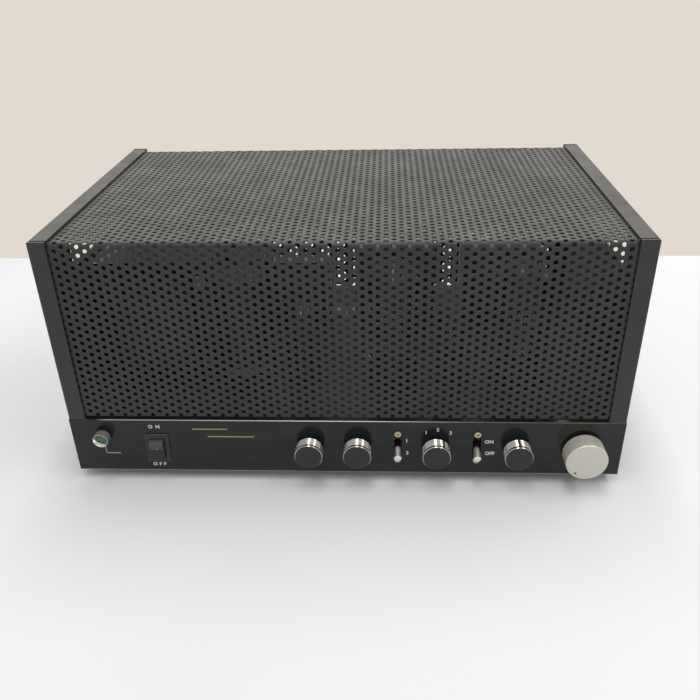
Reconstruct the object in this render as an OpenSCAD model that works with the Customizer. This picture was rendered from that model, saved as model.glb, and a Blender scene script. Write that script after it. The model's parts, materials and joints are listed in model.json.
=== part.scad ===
// Stereo tube amplifier with a lift-off perforated cage
// Millimetres. +X is to the right seen from the front, +Y to the back, +Z up.
// The origin is on the ground, under the middle of the whole object.

/* [Case] */
// Width of the chassis and of the front panel
case_w = 340; // [330:1:400]
// Depth from the front panel's face to the rear panel's face
case_d = 200; // [190:1:260]
// Height of the front panel and chassis
panel_h = 39; // [36:0.5:50]
// Height of the cage above the chassis
cage_h = 116; // [105:0.5:150]
// Height of the rubber feet
foot_h = 7; // [6:0.5:14]
// Diameter of the rubber feet
foot_d = 20; // [16:1:28]
// Distance of each foot's centre from the case's edges
foot_inset = 36; // [30:1:50]

/* [Sheet metal] */
// Thickness of the front panel
panel_t = 3; // [2:0.5:4]
// Radius of the front panel's long edges
panel_edge_r = 0.6; // [0.4:0.1:1.4]
// Thickness of the chassis tray
tray_t = 1.5; // [1:0.1:2]
// Thickness of the rear panel
rear_t = 1.5; // [1:0.1:2.5]
// Thickness of the bottom plate
bottom_t = 1.2; // [0.8:0.1:2]
// Width of the tray's inward lips
lip_w = 14; // [11:1:20]
// Distance of the bottom plate's screws from its front and rear edges
bottom_screw_inset = 24; // [18:1:34]
// Distance of the rear panel's screws from its upper and lower edges
rear_screw_inset = 10; // [8:0.5:14]
// Width of one vent slot in the bottom plate
vent_w = 3; // [2:0.5:5]
// Length of one vent slot in the bottom plate
vent_l = 34; // [20:1:44]
// Distance between vent slots
vent_step = 12; // [8:1:20]

/* [Cage] */
// Thickness of the side pans
side_t = 1.5; // [1:0.1:2]
// Width of the side pans' flanges
flange_w = 10.5; // [9:0.5:16]
// Width of the side pans' lower flanges
foot_flange_w = 8; // [7:0.5:9]
// Outer radius of the side pans' bends
side_bend_r = 1.4; // [0.8:0.1:2]
// Distance of the side pans inside the front panel's ends
cage_inset = 0; // [0:0.1:1.5]
// Width of the slit where two flanges meet
corner_slit = 1.2; // [0.5:0.1:2]
// Length of the hand hole in each side
hand_hole_l = 100; // [80:1:120]
// Height of the hand hole
hand_hole_h = 25; // [20:1:32]
// Corner radius of the hand hole
hand_hole_r = 4; // [2:0.5:9]
// Distance of the hand hole below the cage's top
hand_hole_drop = 11; // [9:0.5:20]
// Diameter of the pegs that locate the cage
peg_d = 4; // [3:0.5:5]
// Length of the pegs below the cage
peg_l = 6; // [4:0.5:9]
// Distance of the pegs from the cage's ends
peg_inset = 26; // [20:1:40]

/* [Perforated sheet] */
// Thickness of the perforated sheet
grille_t = 1; // [0.8:0.1:1.4]
// Distance between holes in one column
hole_pitch = 10; // [9:0.5:16]
// Diameter of the holes
hole_d = 6; // [4:0.5:7]
// Outer radius of the sheet's bends
grille_bend_r = 3; // [2:0.5:6]
// Distance of the sheet's lower edges above the deck
grille_lift = 1.8; // [0.5:0.1:4]
// Plain rim around the holes
grille_rim = 2; // [1:0.5:6]

/* [Knobs] */
// Gap between the front panel and the knobs
knob_gap = 2.4; // [2.3:0.1:5]
// Diameter of the small knobs
knob_d = 17.2; // [15:0.1:20]
// Length of the small knobs
knob_l = 8.2; // [7.5:0.1:14]
// Wall of the bright sleeve on a small knob
sleeve_t = 0.5; // [0.4:0.05:1.5]
// Depth of a small knob's face inside its sleeve
face_sink = 0.2; // [0.1:0.1:1]
// Width of the pointer groove
pointer_w = 0.9; // [0.6:0.1:1.4]
// Depth of the pointer groove
pointer_depth = 0.3; // [0.2:0.05:0.4]
// Diameter of the volume knob
volume_d = 24.9; // [22:0.1:30]
// Length of the volume knob
volume_l = 11.2; // [9:0.1:16]
// Radius of the volume knob's front edge
volume_edge_r = 0.8; // [0.4:0.1:1.5]
// Diameter of the control shafts
shaft_d = 6; // [5:0.5:6.5]
// Depth of the shaft in a knob
socket_l = 6; // [4:0.5:7]

/* [Control places] */
// Bass knob, from the middle
bass_x = -21; // [-30:0.5:-17]
// Treble knob, from the middle
treble_x = 8.7; // [4:0.1:12]
// Monitor lever, from the middle
monitor_x = 33.5; // [30:0.5:36]
// Selector knob, from the middle
selector_x = 57; // [54:0.5:60]
// Loudness lever, from the middle
loudness_x = 82; // [79:0.1:85]
// Balance knob, from the middle
balance_x = 106.5; // [103:0.5:112]
// Volume knob, from the panel's right end
volume_inset = 24; // [18:0.5:30]
// Pilot lamp, from the panel's left end
lamp_inset = 20.1; // [12:0.1:24]
// Pilot lamp, above the panel's lower edge
lamp_rise = 27.7; // [20:0.1:29]
// Power switch, from the panel's left end
switch_inset = 53.2; // [40:0.1:60]
// Power switch, below the panel's middle
switch_drop = 1.3; // [0:0.1:4]
// Lever switches, above the panel's middle
lever_lift = 1.4; // [0:0.1:2.5]

/* [Control parts] */
// Diameter of the threaded bushings
bush_d = 8; // [7.5:0.5:9]
// Across flats of the bushing nuts
nut_af = 11; // [10.5:0.5:14]
// Thickness of the bushing nuts
nut_t = 1.8; // [1.2:0.1:1.9]
// Diameter of the tone, balance and volume controls
pot_d = 24; // [16:1:26]
// Length of a tone or balance control
pot_l = 12; // [10:1:16]
// Length of the volume control
volume_pot_l = 20; // [14:1:26]
// Diameter of the selector switch
selector_d = 26; // [20:1:28]
// Length of the selector switch
selector_l = 16; // [12:1:22]

/* [Power switch] */
// Width of the switch bezel
bezel_w = 14.5; // [14:0.5:18]
// Height of the switch bezel
bezel_h = 20.6; // [20:0.1:24]
// Thickness of the switch bezel
bezel_t = 1; // [0.8:0.1:2]
// Width of the switch body
switch_w = 12.8; // [12.2:0.1:13.6]
// Height of the switch body
switch_h = 18.8; // [18.4:0.1:19.4]
// Length of the switch body behind the panel's face
switch_l = 15; // [13:1:20]
// Width of the rocker
rocker_w = 8.5; // [8:0.1:9.8]
// Radius of the rocker about its pivot
rocker_r = 6.7; // [6.2:0.1:7.6]
// Distance of the pivot behind the panel's face
rocker_pivot = 0.5; // [0.3:0.1:1]
// Height of the rocker's ends above its pivot
rocker_end = 4.4; // [4:0.1:5.5]
// Height of the rocker's valley above its pivot
rocker_valley = 3; // [2.6:0.1:3.6]
// Angle between OFF and ON
rocker_throw = 22; // [16:1:26]

/* [Lever switches] */
// Width of the slot in the panel
slot_w = 5; // [4.8:0.1:7]
// Height of the slot in the panel
slot_h = 13; // [12:0.1:13.6]
// Diameter of the lever at its foot
lever_d = 3.4; // [2.8:0.1:3.6]
// Diameter of the lever at its tip
lever_tip_d = 4.8; // [4:0.1:5.5]
// Length of the lever from its pivot
lever_l = 15.8; // [14:0.1:20]
// Distance of the pivot behind the panel's face
lever_pivot = 8; // [7.6:0.1:9]
// Diameter of the lever's hub
lever_hub_d = 4.6; // [4:0.1:5]
// Angle between the lever's two positions
lever_throw = 36; // [16:1:38]
// Distance between the switch's two screws
lever_screw_span = 19.2; // [18.4:0.1:22]
// Thread of the switch's screws
lever_screw_d = 2.5; // [2:0.1:3]
// Diameter of the switch's screw heads
lever_head_d = 4; // [3.8:0.1:5.2]
// Height of the switch's screw heads
lever_head_h = 1.6; // [1.2:0.1:2]
// Diameter of the recess in the screw heads
lever_recess_d = 2.2; // [1.5:0.1:2.4]
// Depth of the recess in the screw heads
lever_recess = 1.2; // [0.6:0.1:1.4]
// Depth of the screws in the switch body
lever_screw_grip = 6; // [4:0.5:10]
// Width of the switch body
lever_body_w = 12; // [10:0.5:16]
// Length of the switch body
lever_body_l = 14; // [12:0.5:18]

/* [Pilot lamp] */
// Diameter of the lamp's barrel
lamp_d = 9.5; // [8:0.1:11]
// Diameter of the barrel's bore
lamp_bore = 6.6; // [5.5:0.1:7]
// Diameter of the bore's mouth
lamp_mouth = 8.4; // [7.2:0.1:9]
// Diameter of the collar on the panel
lamp_collar_d = 10.6; // [10:0.1:13]
// Thickness of the collar on the panel
lamp_collar_t = 2; // [1:0.1:3]
// Length of the barrel in front of the panel
lamp_l = 7; // [5:0.1:10]
// Length of the barrel behind the panel
lamp_tail = 8; // [6:0.5:14]
// Depth of the lens in the barrel
lens_sink = 2; // [1:0.1:3]
// Across flats of the lamp's nut
lamp_nut_af = 12; // [11.5:0.5:15]
// Thickness of the lamp's nut
lamp_nut_t = 2.4; // [1.5:0.1:3]

/* [Mains transformer] */
// Width of the lamination stack
mains_w = 76; // [66:1:84]
// Height of the lamination stack
mains_h = 80; // [70:1:88]
// Thickness of the lamination stack
mains_stack = 44; // [30:1:50]
// Depth of each end cover
cover_depth = 20; // [14:1:24]
// Thickness of the end covers' rims
cover_t = 1.2; // [1:0.1:2]
// Side-to-side distance of the clamping bolts
clamp_span_x = 62; // [54:1:66]
// Up-and-down distance of the clamping bolts
clamp_span_z = 58; // [50:1:66]
// Gap between the transformer and the cage's lower flange
mains_gap = 1.5; // [1:0.1:6]
// Space beside the end covers' domes, for the bolts
cover_margin_x = 6; // [5:0.5:10]
// Space above and below the end covers' domes
cover_margin_z = 9; // [6:0.5:12]
// Middle of the transformer, behind the front panel's face
mains_inset_y = 80; // [76:1:90]

/* [Output transformers and choke] */
// Width of an output transformer's lamination
output_w = 57; // [48:1:58]
// Height of an output transformer's lamination
output_h = 55; // [46:1:62]
// Thickness of an output transformer's stack
output_stack = 24; // [18:1:30]
// Gap between the right output transformer and the cage's lower flange
output_side_gap = 13.8; // [2:0.1:16]
// Gap between the straps' feet of two neighbours
output_gap = 2.6; // [1:0.1:6]
// Output transformers, from the rear panel's face
output_inset_y = 52; // [46:1:60]
// Width of the choke's lamination
choke_w = 44; // [36:1:46]
// Height of the choke's lamination
choke_h = 44; // [36:1:50]
// Thickness of the choke's stack
choke_stack = 20; // [16:1:24]
// Overhang of a coil at each face of its stack
coil_bulge = 9; // [6:0.5:12]
// Thickness of the mounting straps
strap_t = 1.2; // [1:0.1:1.5]
// Width of the mounting straps
strap_w = 14; // [10:1:18]
// Length of the straps' feet
strap_foot = 8; // [7:0.5:8.5]

/* [Capacitors] */
// Diameter of the filter capacitors
can_d = 32; // [25:1:34]
// Height of the filter capacitors
can_h = 78; // [60:1:90]
// Gap beside and between the capacitors
can_gap = 4; // [2:0.5:8]
// First capacitor, behind the front panel's face
can_inset_y = 48; // [30:1:50]

/* [Tubes] */
// Left power tube, from the middle
power_tube_left_x = 31; // [26:0.5:36]
// Right power tube, from the middle
power_tube_right_x = 112; // [104:0.5:118]
// Gap between the capacitors and the left signal tube's socket
tube_gap = 7; // [3:0.5:10]
// Right signal tube, from the middle
signal_tube_right_x = 69; // [67:0.5:74]
// Tubes, behind the front panel's face
tube_inset_y = 56; // [46:1:60]
// Diameter of a power tube's glass
power_glass_d = 36; // [30:1:40]
// Height of a power tube's glass
power_glass_h = 63; // [54:1:70]
// Diameter of a power tube's base
power_base_d = 33; // [28:1:36]
// Height of a power tube's base
power_base_h = 14; // [10:1:18]
// Diameter of a power tube's socket above the deck
power_socket_d = 38; // [36:1:44]
// Diameter of a signal tube's glass
signal_glass_d = 22; // [18:1:24]
// Height of a signal tube's glass
signal_glass_h = 47; // [40:1:52]
// Diameter of a signal tube's socket above the deck
signal_socket_d = 26; // [24:1:30]
// Height of the sockets above the deck
socket_h = 5; // [3:0.5:8]
// Depth of the sockets below the deck
socket_drop = 10; // [6:0.5:12]
// Wall of the glass
glass_t = 1; // [0.8:0.1:1.4]

/* [Rear connectors] */
// Outer diameter of the input jacks
jack_d = 8.3; // [7.8:0.1:8.6]
// Length of the input jacks behind the rear panel
jack_l = 9; // [7:0.5:11]
// Distance between jack columns
jack_step_x = 17; // [15:0.5:19]
// Distance between jack rows
jack_step_z = 15; // [14:0.5:17]
// Number of jack columns
jack_columns = 5; // [2:1:5]
// Last jack column, from the right end of the case
jack_inset = 26; // [24:1:40]
// Length of the speaker posts
post_l = 15; // [13:0.5:20]
// Diameter of the speaker posts
post_d = 13; // [11:0.5:14]
// Diameter of the plug hole in a speaker post
post_bore = 4; // [3.8:0.1:4.2]
// Depth of the plug hole in a speaker post
post_bore_l = 10; // [8:0.5:12]
// Distance between speaker posts
post_step = 20; // [18:0.5:24]
// First speaker post, from the middle
post_x = -40; // [-50:1:-34]
// Mains inlet, from the left end of the case
inlet_inset = 40; // [34:1:50]
// Fuse holder, from the left end of the case
fuse_inset = 76; // [72:1:84]
// Diameter of the fuse holder
fuse_d = 12; // [10:0.5:14]
// Diameter of the fuse holder's collar
fuse_collar_d = 16; // [14.5:0.5:20]
// Thickness of the fuse holder's collar
fuse_collar_t = 2; // [1:0.5:4]
// Length of the fuse holder's cap
fuse_cap_l = 9; // [6:0.5:14]
// Length of the fuse holder's body behind the rear panel
fuse_body_l = 24; // [18:1:28]
// Width of the slot in the fuse holder's cap
fuse_slot_w = 1.6; // [1:0.1:2]
// Depth of the slot in the fuse holder's cap
fuse_slot_depth = 1.5; // [1:0.1:2]

/* [Board] */
// Width of the circuit board
board_w = 190; // [120:1:220]
// Depth of the circuit board
board_d = 80; // [50:1:84]
// Distance of the board's rear edge from the rear panel's face
board_gap = 36; // [32:1:44]
// Length of the spacers that hang the board from the deck
spacer_l = 12; // [8:1:15]

/* [Clearances] */
// Shaft or pin in its bearing, each side
running_fit = 0.05; // [0.02:0.01:0.1]
// Piece in its hole, each side
hole_fit = 0.15; // [0.05:0.05:0.2]
// Moving piece beside a fixed one, each side
moving_gap = 0.3; // [0.2:0.05:0.4]

/* [Hidden] */
$fn = 48;

// Main planes
half_w = case_w / 2;
front_reach = knob_gap + max(volume_l, knob_l);
front_y = (front_reach - post_l - case_d) / 2;
rear_y = front_y + case_d;
base_z = foot_h;
deck_z = base_z + panel_h;
top_z = deck_z + cage_h;
wall_stack = panel_t + tray_t;
control_rise = panel_h / 2;
through = 1;

// Cage planes
cage_half_w = half_w - cage_inset;
peg_x = cage_half_w - foot_flange_w / 2;
grille_half_w = cage_half_w - side_t - moving_gap;
grille_front_y = front_y + side_t;
grille_rear_y = rear_y - side_t;
grille_top_z = top_z - side_t;
grille_low_z = deck_z + grille_lift;
grille_wall_h = grille_top_z - grille_bend_r - grille_low_z;

// Screws: thread, head diameter and head height
small_screw = [3, 5.2, 1.6];
lever_screw = [lever_screw_d, lever_head_d, lever_head_h];
foot_screw = [4, 7.4, 2.4];
nut_t_foot = 3;

// Control places
volume_x = half_w - volume_inset;
lamp_x = lamp_inset - half_w;
switch_x = switch_inset - half_w;
switch_rise = control_rise - switch_drop;
knob_xs = [bass_x, treble_x, selector_x, balance_x];
bush_xs = concat(knob_xs, [volume_x]);
lever_xs = [monitor_x, loudness_x];
lever_rise = control_rise + lever_lift;

// Pointer angles, clockwise from the top
low_angle = -150;
selector_angle = 30;
volume_angle = -142;

// Depth of a shaft in its control body, and its end play
shaft_sink = 5;
shaft_play = 0.2;
bush_proud = 0.4;

// Places on the deck
mains_x = foot_flange_w + mains_gap + mains_w / 2 - cage_half_w;
mains_y = front_y + mains_inset_y;
output_y = rear_y - output_inset_y;
strap_reach = strap_t + strap_foot;
output_right_x = cage_half_w - foot_flange_w - output_side_gap - strap_reach - output_w / 2;
output_left_x = output_right_x - output_w - 2 * strap_reach - output_gap;
choke_x = output_left_x - output_w / 2 - 2 * strap_reach - output_gap - choke_w / 2;
tube_y = front_y + tube_inset_y;
can_x = mains_x + mains_w / 2 + can_gap + can_d / 2;
can_step = can_d + can_gap;
signal_tube_left_x = can_x + can_d / 2 + tube_gap + signal_socket_d / 2;
power_tube_xs = [power_tube_left_x, power_tube_right_x];
signal_tube_xs = [signal_tube_left_x, signal_tube_right_x];
can_ys = [front_y + can_inset_y, front_y + can_inset_y + can_step];
window_share = 0.6;
strap_units = [
  [output_left_x, output_w, output_h], [output_right_x, output_w, output_h], [choke_x, choke_w, choke_h]
];
power_socket_hole = power_socket_d - 8;
signal_socket_hole = signal_socket_d - 5;
mains_foot_l = 14;
mains_foot_t = 1.5;
mains_screw_x = clamp_span_x / 2;
mains_screw_y = mains_stack / 2 + cover_t + mains_foot_l / 2;

// Places on the rear panel
jack_xs = [for (i = [0 : jack_columns - 1]) half_w - jack_inset - i * jack_step_x];
jack_rises = [panel_h / 2 - jack_step_z / 2, panel_h / 2 + jack_step_z / 2];
post_xs = [for (i = [0 : 3]) post_x + i * post_step];
inlet_x = inlet_inset - half_w;
fuse_x = fuse_inset - half_w;
inlet_flange = [30.5, 23, 2.5];
inlet_body = [26.8, 19.6];
inlet_mouth = [24.2, 16.4];
inlet_depth = 13;
inlet_pin = [2, 4, 11];
inlet_pins = [[0, -4], [-7, 1], [7, 1]];
jack_tail_d = 7.4;
post_stud_d = 6;

// Places of the screws
bottom_screw_points = [
  for (s = [-1, 1], y = [front_y + bottom_screw_inset, (front_y + rear_y) / 2, rear_y - bottom_screw_inset])
    [s * (half_w - lip_w / 2), y]
];
rear_screw_points = [
  for (s = [-1, 1], z = [rear_screw_inset, panel_h - rear_screw_inset]) [s * (half_w - lip_w / 2), base_z + z]
];
foot_points = [
  for (s = [-1, 1], y = [front_y + foot_inset, rear_y - foot_inset]) [s * (half_w - foot_inset), y]
];

// Flat outlines and placing

// Rectangle with round corners about the origin
module round_plate(w, h, r) {
  square([w - 2 * r, h], center = true);
  square([w, h - 2 * r], center = true);
  for (x = [-1, 1], y = [-1, 1]) translate([x * (w / 2 - r), y * (h / 2 - r)]) circle(r);
}

// Outline in Y and Z, drawn out along X about the middle
module along_x(l) {
  rotate([90, 0, 90]) linear_extrude(l, center = true) children();
}

// Outline in X and Z, drawn out along Y about the middle
module along_y(l) {
  rotate([90, 0, 0]) linear_extrude(l, center = true) children();
}

// Place on the front panel: x right, y up, z out of the panel
module on_panel(x, rise) {
  translate([x, front_y, base_z + rise]) rotate([90, 0, 0]) children();
}

// Place on the rear panel: x right, y down, z out of the panel
module on_rear(x, rise) {
  translate([x, rear_y, base_z + rise]) rotate([-90, 0, 0]) children();
}

// Cut through the front panel and the tray's front wall
module panel_cut() {
  translate([0, 0, -wall_stack - through]) linear_extrude(wall_stack + 2 * through) children();
}

// Hexagon with its flats this far apart
module hexagon(af) {
  circle(d = af / cos(30), $fn = 6);
}

// Pan head screw: head below z = 0, shank above
module screw(kind, l) {
  translate([0, 0, -kind[2]]) cylinder(d = kind[1], h = kind[2]);
  cylinder(d = kind[0], h = l);
}

// Chassis

// Holes for every control, in the front panel and in the wall behind it
module control_holes() {
  for (x = bush_xs) on_panel(x, control_rise) panel_cut() circle(d = bush_d + 2 * hole_fit);
  on_panel(lamp_x, lamp_rise) panel_cut() circle(d = lamp_d + 2 * hole_fit);
  on_panel(switch_x, switch_rise)
    panel_cut() square([switch_w + 2 * hole_fit, switch_h + 2 * hole_fit], center = true);
  for (x = lever_xs) on_panel(x, lever_rise) panel_cut() {
    square([slot_w, slot_h], center = true);
    for (s = [-1, 1]) translate([0, s * lever_screw_span / 2]) circle(d = lever_screw_d + 2 * hole_fit);
  }
}

module deck_holes() {
  deck_cut = tray_t + 2 * through;
  translate([0, 0, deck_z - tray_t - through]) linear_extrude(deck_cut) {
    for (x = power_tube_xs) translate([x, tube_y]) circle(d = power_socket_hole);
    for (x = signal_tube_xs) translate([x, tube_y]) circle(d = signal_socket_hole);
    for (s = [-1, 1], y = [front_y + peg_inset, rear_y - peg_inset])
      translate([s * peg_x, y]) circle(d = peg_d + 2 * moving_gap);
    for (u = strap_units, s = [-1, 1]) translate([u[0] + s * (u[1] / 2 + strap_t + strap_foot / 2), output_y])
      circle(d = small_screw[0] + 2 * hole_fit);
    for (sx = [-1, 1], sy = [-1, 1]) translate([mains_x + sx * mains_screw_x, mains_y + sy * mains_screw_y])
      circle(d = foot_screw[0] + 2 * hole_fit);
  }
}

module lip_holes() {
  for (p = bottom_screw_points) translate([p[0], p[1], base_z - through])
    cylinder(d = small_screw[0] + 2 * hole_fit, h = bottom_t + tray_t + 2 * through);
}

module return_holes() {
  for (p = rear_screw_points) translate([p[0], rear_y + through, p[1]]) rotate([90, 0, 0])
    cylinder(d = small_screw[0] + 2 * hole_fit, h = rear_t + tray_t + 2 * through);
}

// Folded tray, open at the back and below, with lips for the screws
module chassis_tray() {
  inner_d = case_d - panel_t - rear_t;
  wall_z = base_z + bottom_t;
  wall_h = panel_h - bottom_t;
  color("#2b2c2c") difference() {
    union() {
      difference() {
        translate([-half_w, front_y + panel_t, wall_z]) cube([case_w, inner_d, wall_h]);
        translate([tray_t - half_w, front_y + wall_stack, wall_z - through])
          cube([case_w - 2 * tray_t, case_d, wall_h - tray_t + through]);
      }
      for (x = [-half_w, half_w - lip_w]) {
        translate([x, front_y + panel_t, wall_z]) cube([lip_w, inner_d, tray_t]);
        translate([x, rear_y - rear_t - tray_t, wall_z]) cube([lip_w, tray_t, wall_h]);
      }
    }
    control_holes();
    deck_holes();
    lip_holes();
    return_holes();
  }
}

// Plate with rounded long edges at its face
module front_panel() {
  r = panel_edge_r;
  color("#303231") difference() {
    translate([0, front_y, base_z]) along_x(case_w) {
      translate([r, 0]) square([panel_t - r, panel_h]);
      translate([0, r]) square([panel_t, panel_h - 2 * r]);
      for (z = [r, panel_h - r]) translate([r, z]) circle(r);
    }
    control_holes();
  }
}

module rear_panel() {
  color("#303231") difference() {
    translate([-half_w, rear_y - rear_t, base_z]) cube([case_w, rear_t, panel_h]);
    return_holes();
    for (x = jack_xs, rise = jack_rises) rear_cut(x, rise) circle(d = jack_tail_d + 2 * hole_fit);
    for (x = post_xs) rear_cut(x, control_rise) circle(d = post_stud_d + 2 * hole_fit);
    rear_cut(inlet_x, control_rise)
      square([inlet_body[0] + 2 * hole_fit, inlet_body[1] + 2 * hole_fit], center = true);
    rear_cut(fuse_x, control_rise) circle(d = fuse_d + 2 * hole_fit);
  }
}

module rear_cut(x, rise) {
  on_rear(x, rise) translate([0, 0, -rear_t - through]) linear_extrude(rear_t + 2 * through) children();
}

// Closing plate with two rows of vent slots
module bottom_plate() {
  plate_d = case_d - panel_t - rear_t;
  slots = floor((case_w - 2 * foot_inset - foot_d - vent_step) / (2 * vent_step));
  color("#8f9192") difference() {
    translate([-half_w, front_y + panel_t, base_z]) cube([case_w, plate_d, bottom_t]);
    translate([0, 0, base_z - through]) linear_extrude(bottom_t + 2 * through)
      for (i = [-slots : slots], s = [-1, 1])
        translate([i * vent_step, (front_y + rear_y) / 2 + s * (case_d / 4 - foot_d / 2)])
          round_plate(vent_w, vent_l, vent_w / 2 - 0.01);
    lip_holes();
    for (p = foot_points) translate([p[0], p[1], base_z - through])
      cylinder(d = foot_screw[0] + 2 * hole_fit, h = bottom_t + 2 * through);
  }
}

foot_taper = 1.5;
foot_head_z = foot_h / 2;

module rubber_feet() {
  color("#1c1c1c") for (p = foot_points) translate(p) difference() {
    cylinder(d1 = foot_d - 2 * foot_taper, d2 = foot_d, h = foot_h);
    translate([0, 0, -through]) cylinder(d = foot_screw[1] + 2 * moving_gap, h = foot_head_z + through);
    cylinder(d = foot_screw[0] + 2 * hole_fit, h = foot_h + through);
  }
}

// Screws of the feet with their nuts, of the bottom plate and of the rear panel
module case_screws() {
  screw_tail = 3;
  plate_z = base_z + bottom_t;
  color("#9a9c9e") {
    for (p = foot_points) translate(p) {
      translate([0, 0, foot_head_z]) screw(foot_screw, plate_z + nut_t_foot - foot_head_z);
      translate([0, 0, plate_z]) linear_extrude(nut_t_foot) difference() {
        hexagon(foot_screw[0] + 3);
        circle(d = foot_screw[0] + 2 * running_fit);
      }
    }
    for (p = bottom_screw_points) translate([p[0], p[1], base_z])
      screw(small_screw, bottom_t + tray_t + screw_tail);
    for (p = rear_screw_points) translate([p[0], rear_y, p[1]]) rotate([90, 0, 0])
      screw(small_screw, rear_t + tray_t + screw_tail);
  }
}

// Cage

// Left side pan: wall, flanges all round, slits at the upper corners, hand hole and pegs
module side_pan() {
  r = side_bend_r;
  x0 = -cage_half_w;
  color("#2f3131") {
    difference() {
      intersection() {
        translate([0, 0, deck_z]) linear_extrude(cage_h) {
          translate([x0, front_y + r]) square([flange_w, case_d - 2 * r]);
          translate([x0 + r, front_y]) square([flange_w - r, case_d]);
          for (y = [front_y + r, rear_y - r]) translate([x0 + r, y]) circle(r);
        }
        translate([0, (front_y + rear_y) / 2, 0]) along_y(case_d) {
          translate([x0, deck_z]) square([flange_w, cage_h - r]);
          translate([x0 + r, deck_z]) square([flange_w - r, cage_h]);
          translate([x0 + r, top_z - r]) circle(r);
        }
      }
      translate([x0 + side_t, front_y + side_t, deck_z + side_t])
        cube([flange_w, case_d - 2 * side_t, cage_h - 2 * side_t]);
      translate([x0 + foot_flange_w, front_y + side_t, deck_z - through])
        cube([flange_w, case_d - 2 * side_t, side_t + 2 * through]);
      for (y = [front_y + side_t, rear_y - side_t - corner_slit])
        translate([x0 + side_t, y, top_z - side_t - through])
          cube([flange_w, corner_slit, side_t + 2 * through]);
      translate([x0, (front_y + rear_y) / 2, top_z - hand_hole_drop - hand_hole_h / 2])
        along_x(4 * side_t) round_plate(hand_hole_l, hand_hole_h, hand_hole_r);
    }
    for (y = [front_y + peg_inset, rear_y - peg_inset]) translate([-peg_x, y, deck_z - peg_l])
      cylinder(d = peg_d, h = peg_l + side_t);
  }
}

module cage_side_left() {
  side_pan();
}

module cage_side_right() {
  mirror([1, 0, 0]) side_pan();
}

// Sheet with staggered holes, in columns along its second side
module perforated(w, h) {
  column = hole_pitch * cos(30);
  edge = grille_rim + hole_d / 2;
  last = floor((w / 2 - edge) / column);
  difference() {
    square([w, h], center = true);
    for (i = [-last : last]) {
      odd = abs(i) % 2;
      rows = floor((h / 2 - edge - odd * hole_pitch / 2) / hole_pitch);
      for (j = [-rows - odd : rows])
        translate([i * column, (j + odd / 2) * hole_pitch]) circle(d = hole_d);
    }
  }
}

// Upright part of the sheet, its outer face at y and facing to the front or the back
module grille_wall(y, inward) {
  color("#363838") translate([0, y + inward * grille_t / 2, grille_low_z + grille_wall_h / 2])
    along_y(grille_t) perforated(2 * grille_half_w, grille_wall_h);
}

module grille_front() {
  grille_wall(grille_front_y, 1);
}

module grille_rear() {
  grille_wall(grille_rear_y, -1);
}

// Level part of the sheet, with a bend at each end
module grille_top() {
  r = grille_bend_r;
  flat_d = grille_rear_y - grille_front_y - 2 * r;
  color("#666762") {
    translate([0, (grille_front_y + grille_rear_y) / 2, grille_top_z - grille_t])
      linear_extrude(grille_t) perforated(2 * grille_half_w, flat_d);
    for (end = [[grille_front_y + r, -1], [grille_rear_y - r, 1]])
      translate([0, end[0], grille_top_z - r]) along_x(2 * grille_half_w) difference() {
        intersection() {
          circle(r);
          translate([end[1] > 0 ? 0 : -r, 0]) square(r);
        }
        circle(r - grille_t);
      }
  }
}

// Pilot lamp and power switch

// Barrel with a collar on the panel, a flared mouth and a nut behind the wall
module power_lamp_barrel() {
  seat = lamp_l - lens_sink;
  color("#c9cbc9") on_panel(lamp_x, lamp_rise) {
    difference() {
      union() {
        translate([0, 0, -wall_stack - lamp_tail]) cylinder(d = lamp_d, h = wall_stack + lamp_tail + lamp_l);
        cylinder(d = lamp_collar_d, h = lamp_collar_t);
      }
      cylinder(d = lamp_bore, h = lamp_l + through);
      translate([0, 0, seat]) cylinder(d1 = lamp_bore, d2 = lamp_mouth, h = lens_sink);
    }
    translate([0, 0, -wall_stack - lamp_nut_t]) linear_extrude(lamp_nut_t) difference() {
      hexagon(lamp_nut_af);
      circle(d = lamp_d + 2 * running_fit);
    }
  }
}

// Lens with a low dome, at the bottom of the barrel's bore
module power_lamp_lens() {
  lens_h = lamp_l - lens_sink;
  dome_r = lamp_bore;
  color("#2f6b3a") on_panel(lamp_x, lamp_rise) intersection() {
    cylinder(d = lamp_bore - 2 * running_fit, h = lens_h);
    translate([0, 0, lens_h - dome_r]) sphere(dome_r);
  }
}

pivot_pin_d = 2;

// Bezel and body of the power switch, with the rocker's pin and three blades
module power_switch_frame() {
  window = [rocker_w + 2 * moving_gap, 2 * (rocker_r + moving_gap)];
  cavity = rocker_pivot + rocker_r;
  blade = [5, 0.8, 8];
  color("#262727") on_panel(switch_x, switch_rise) {
    difference() {
      union() {
        linear_extrude(bezel_t) round_plate(bezel_w, bezel_h, 1);
        translate([0, 0, -switch_l]) linear_extrude(switch_l) square([switch_w, switch_h], center = true);
      }
      translate([0, 0, -cavity]) linear_extrude(cavity + bezel_t + through) square(window, center = true);
    }
    translate([0, 0, -rocker_pivot]) rotate([0, 90, 0])
      cylinder(d = pivot_pin_d, h = switch_w, center = true);
    for (y = [-1, 0, 1])
      translate([0, y * switch_h / 3, -switch_l - blade[2] / 2]) cube(blade, center = true);
  }
}

// Rocker at OFF: round ends about the pivot, a shallow valley across its face
module power_rocker() {
  reach = rocker_r + through;
  end_u = sqrt(pow(rocker_r, 2) - pow(rocker_end, 2));
  slope = (rocker_end - rocker_valley) / end_u;
  back = 3;
  color("#1f2020") on_panel(switch_x, switch_rise) translate([0, 0, -rocker_pivot])
    rotate([rocker_throw / 2, 0, 0]) along_x(rocker_w) difference() {
      intersection() {
        circle(rocker_r);
        polygon([
          [-reach, -back], [reach, -back], [reach, rocker_valley + slope * reach],
          [0, rocker_valley], [-reach, rocker_valley + slope * reach]
        ]);
      }
      circle(d = pivot_pin_d + 2 * running_fit);
    }
}

// Rotary controls

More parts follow.
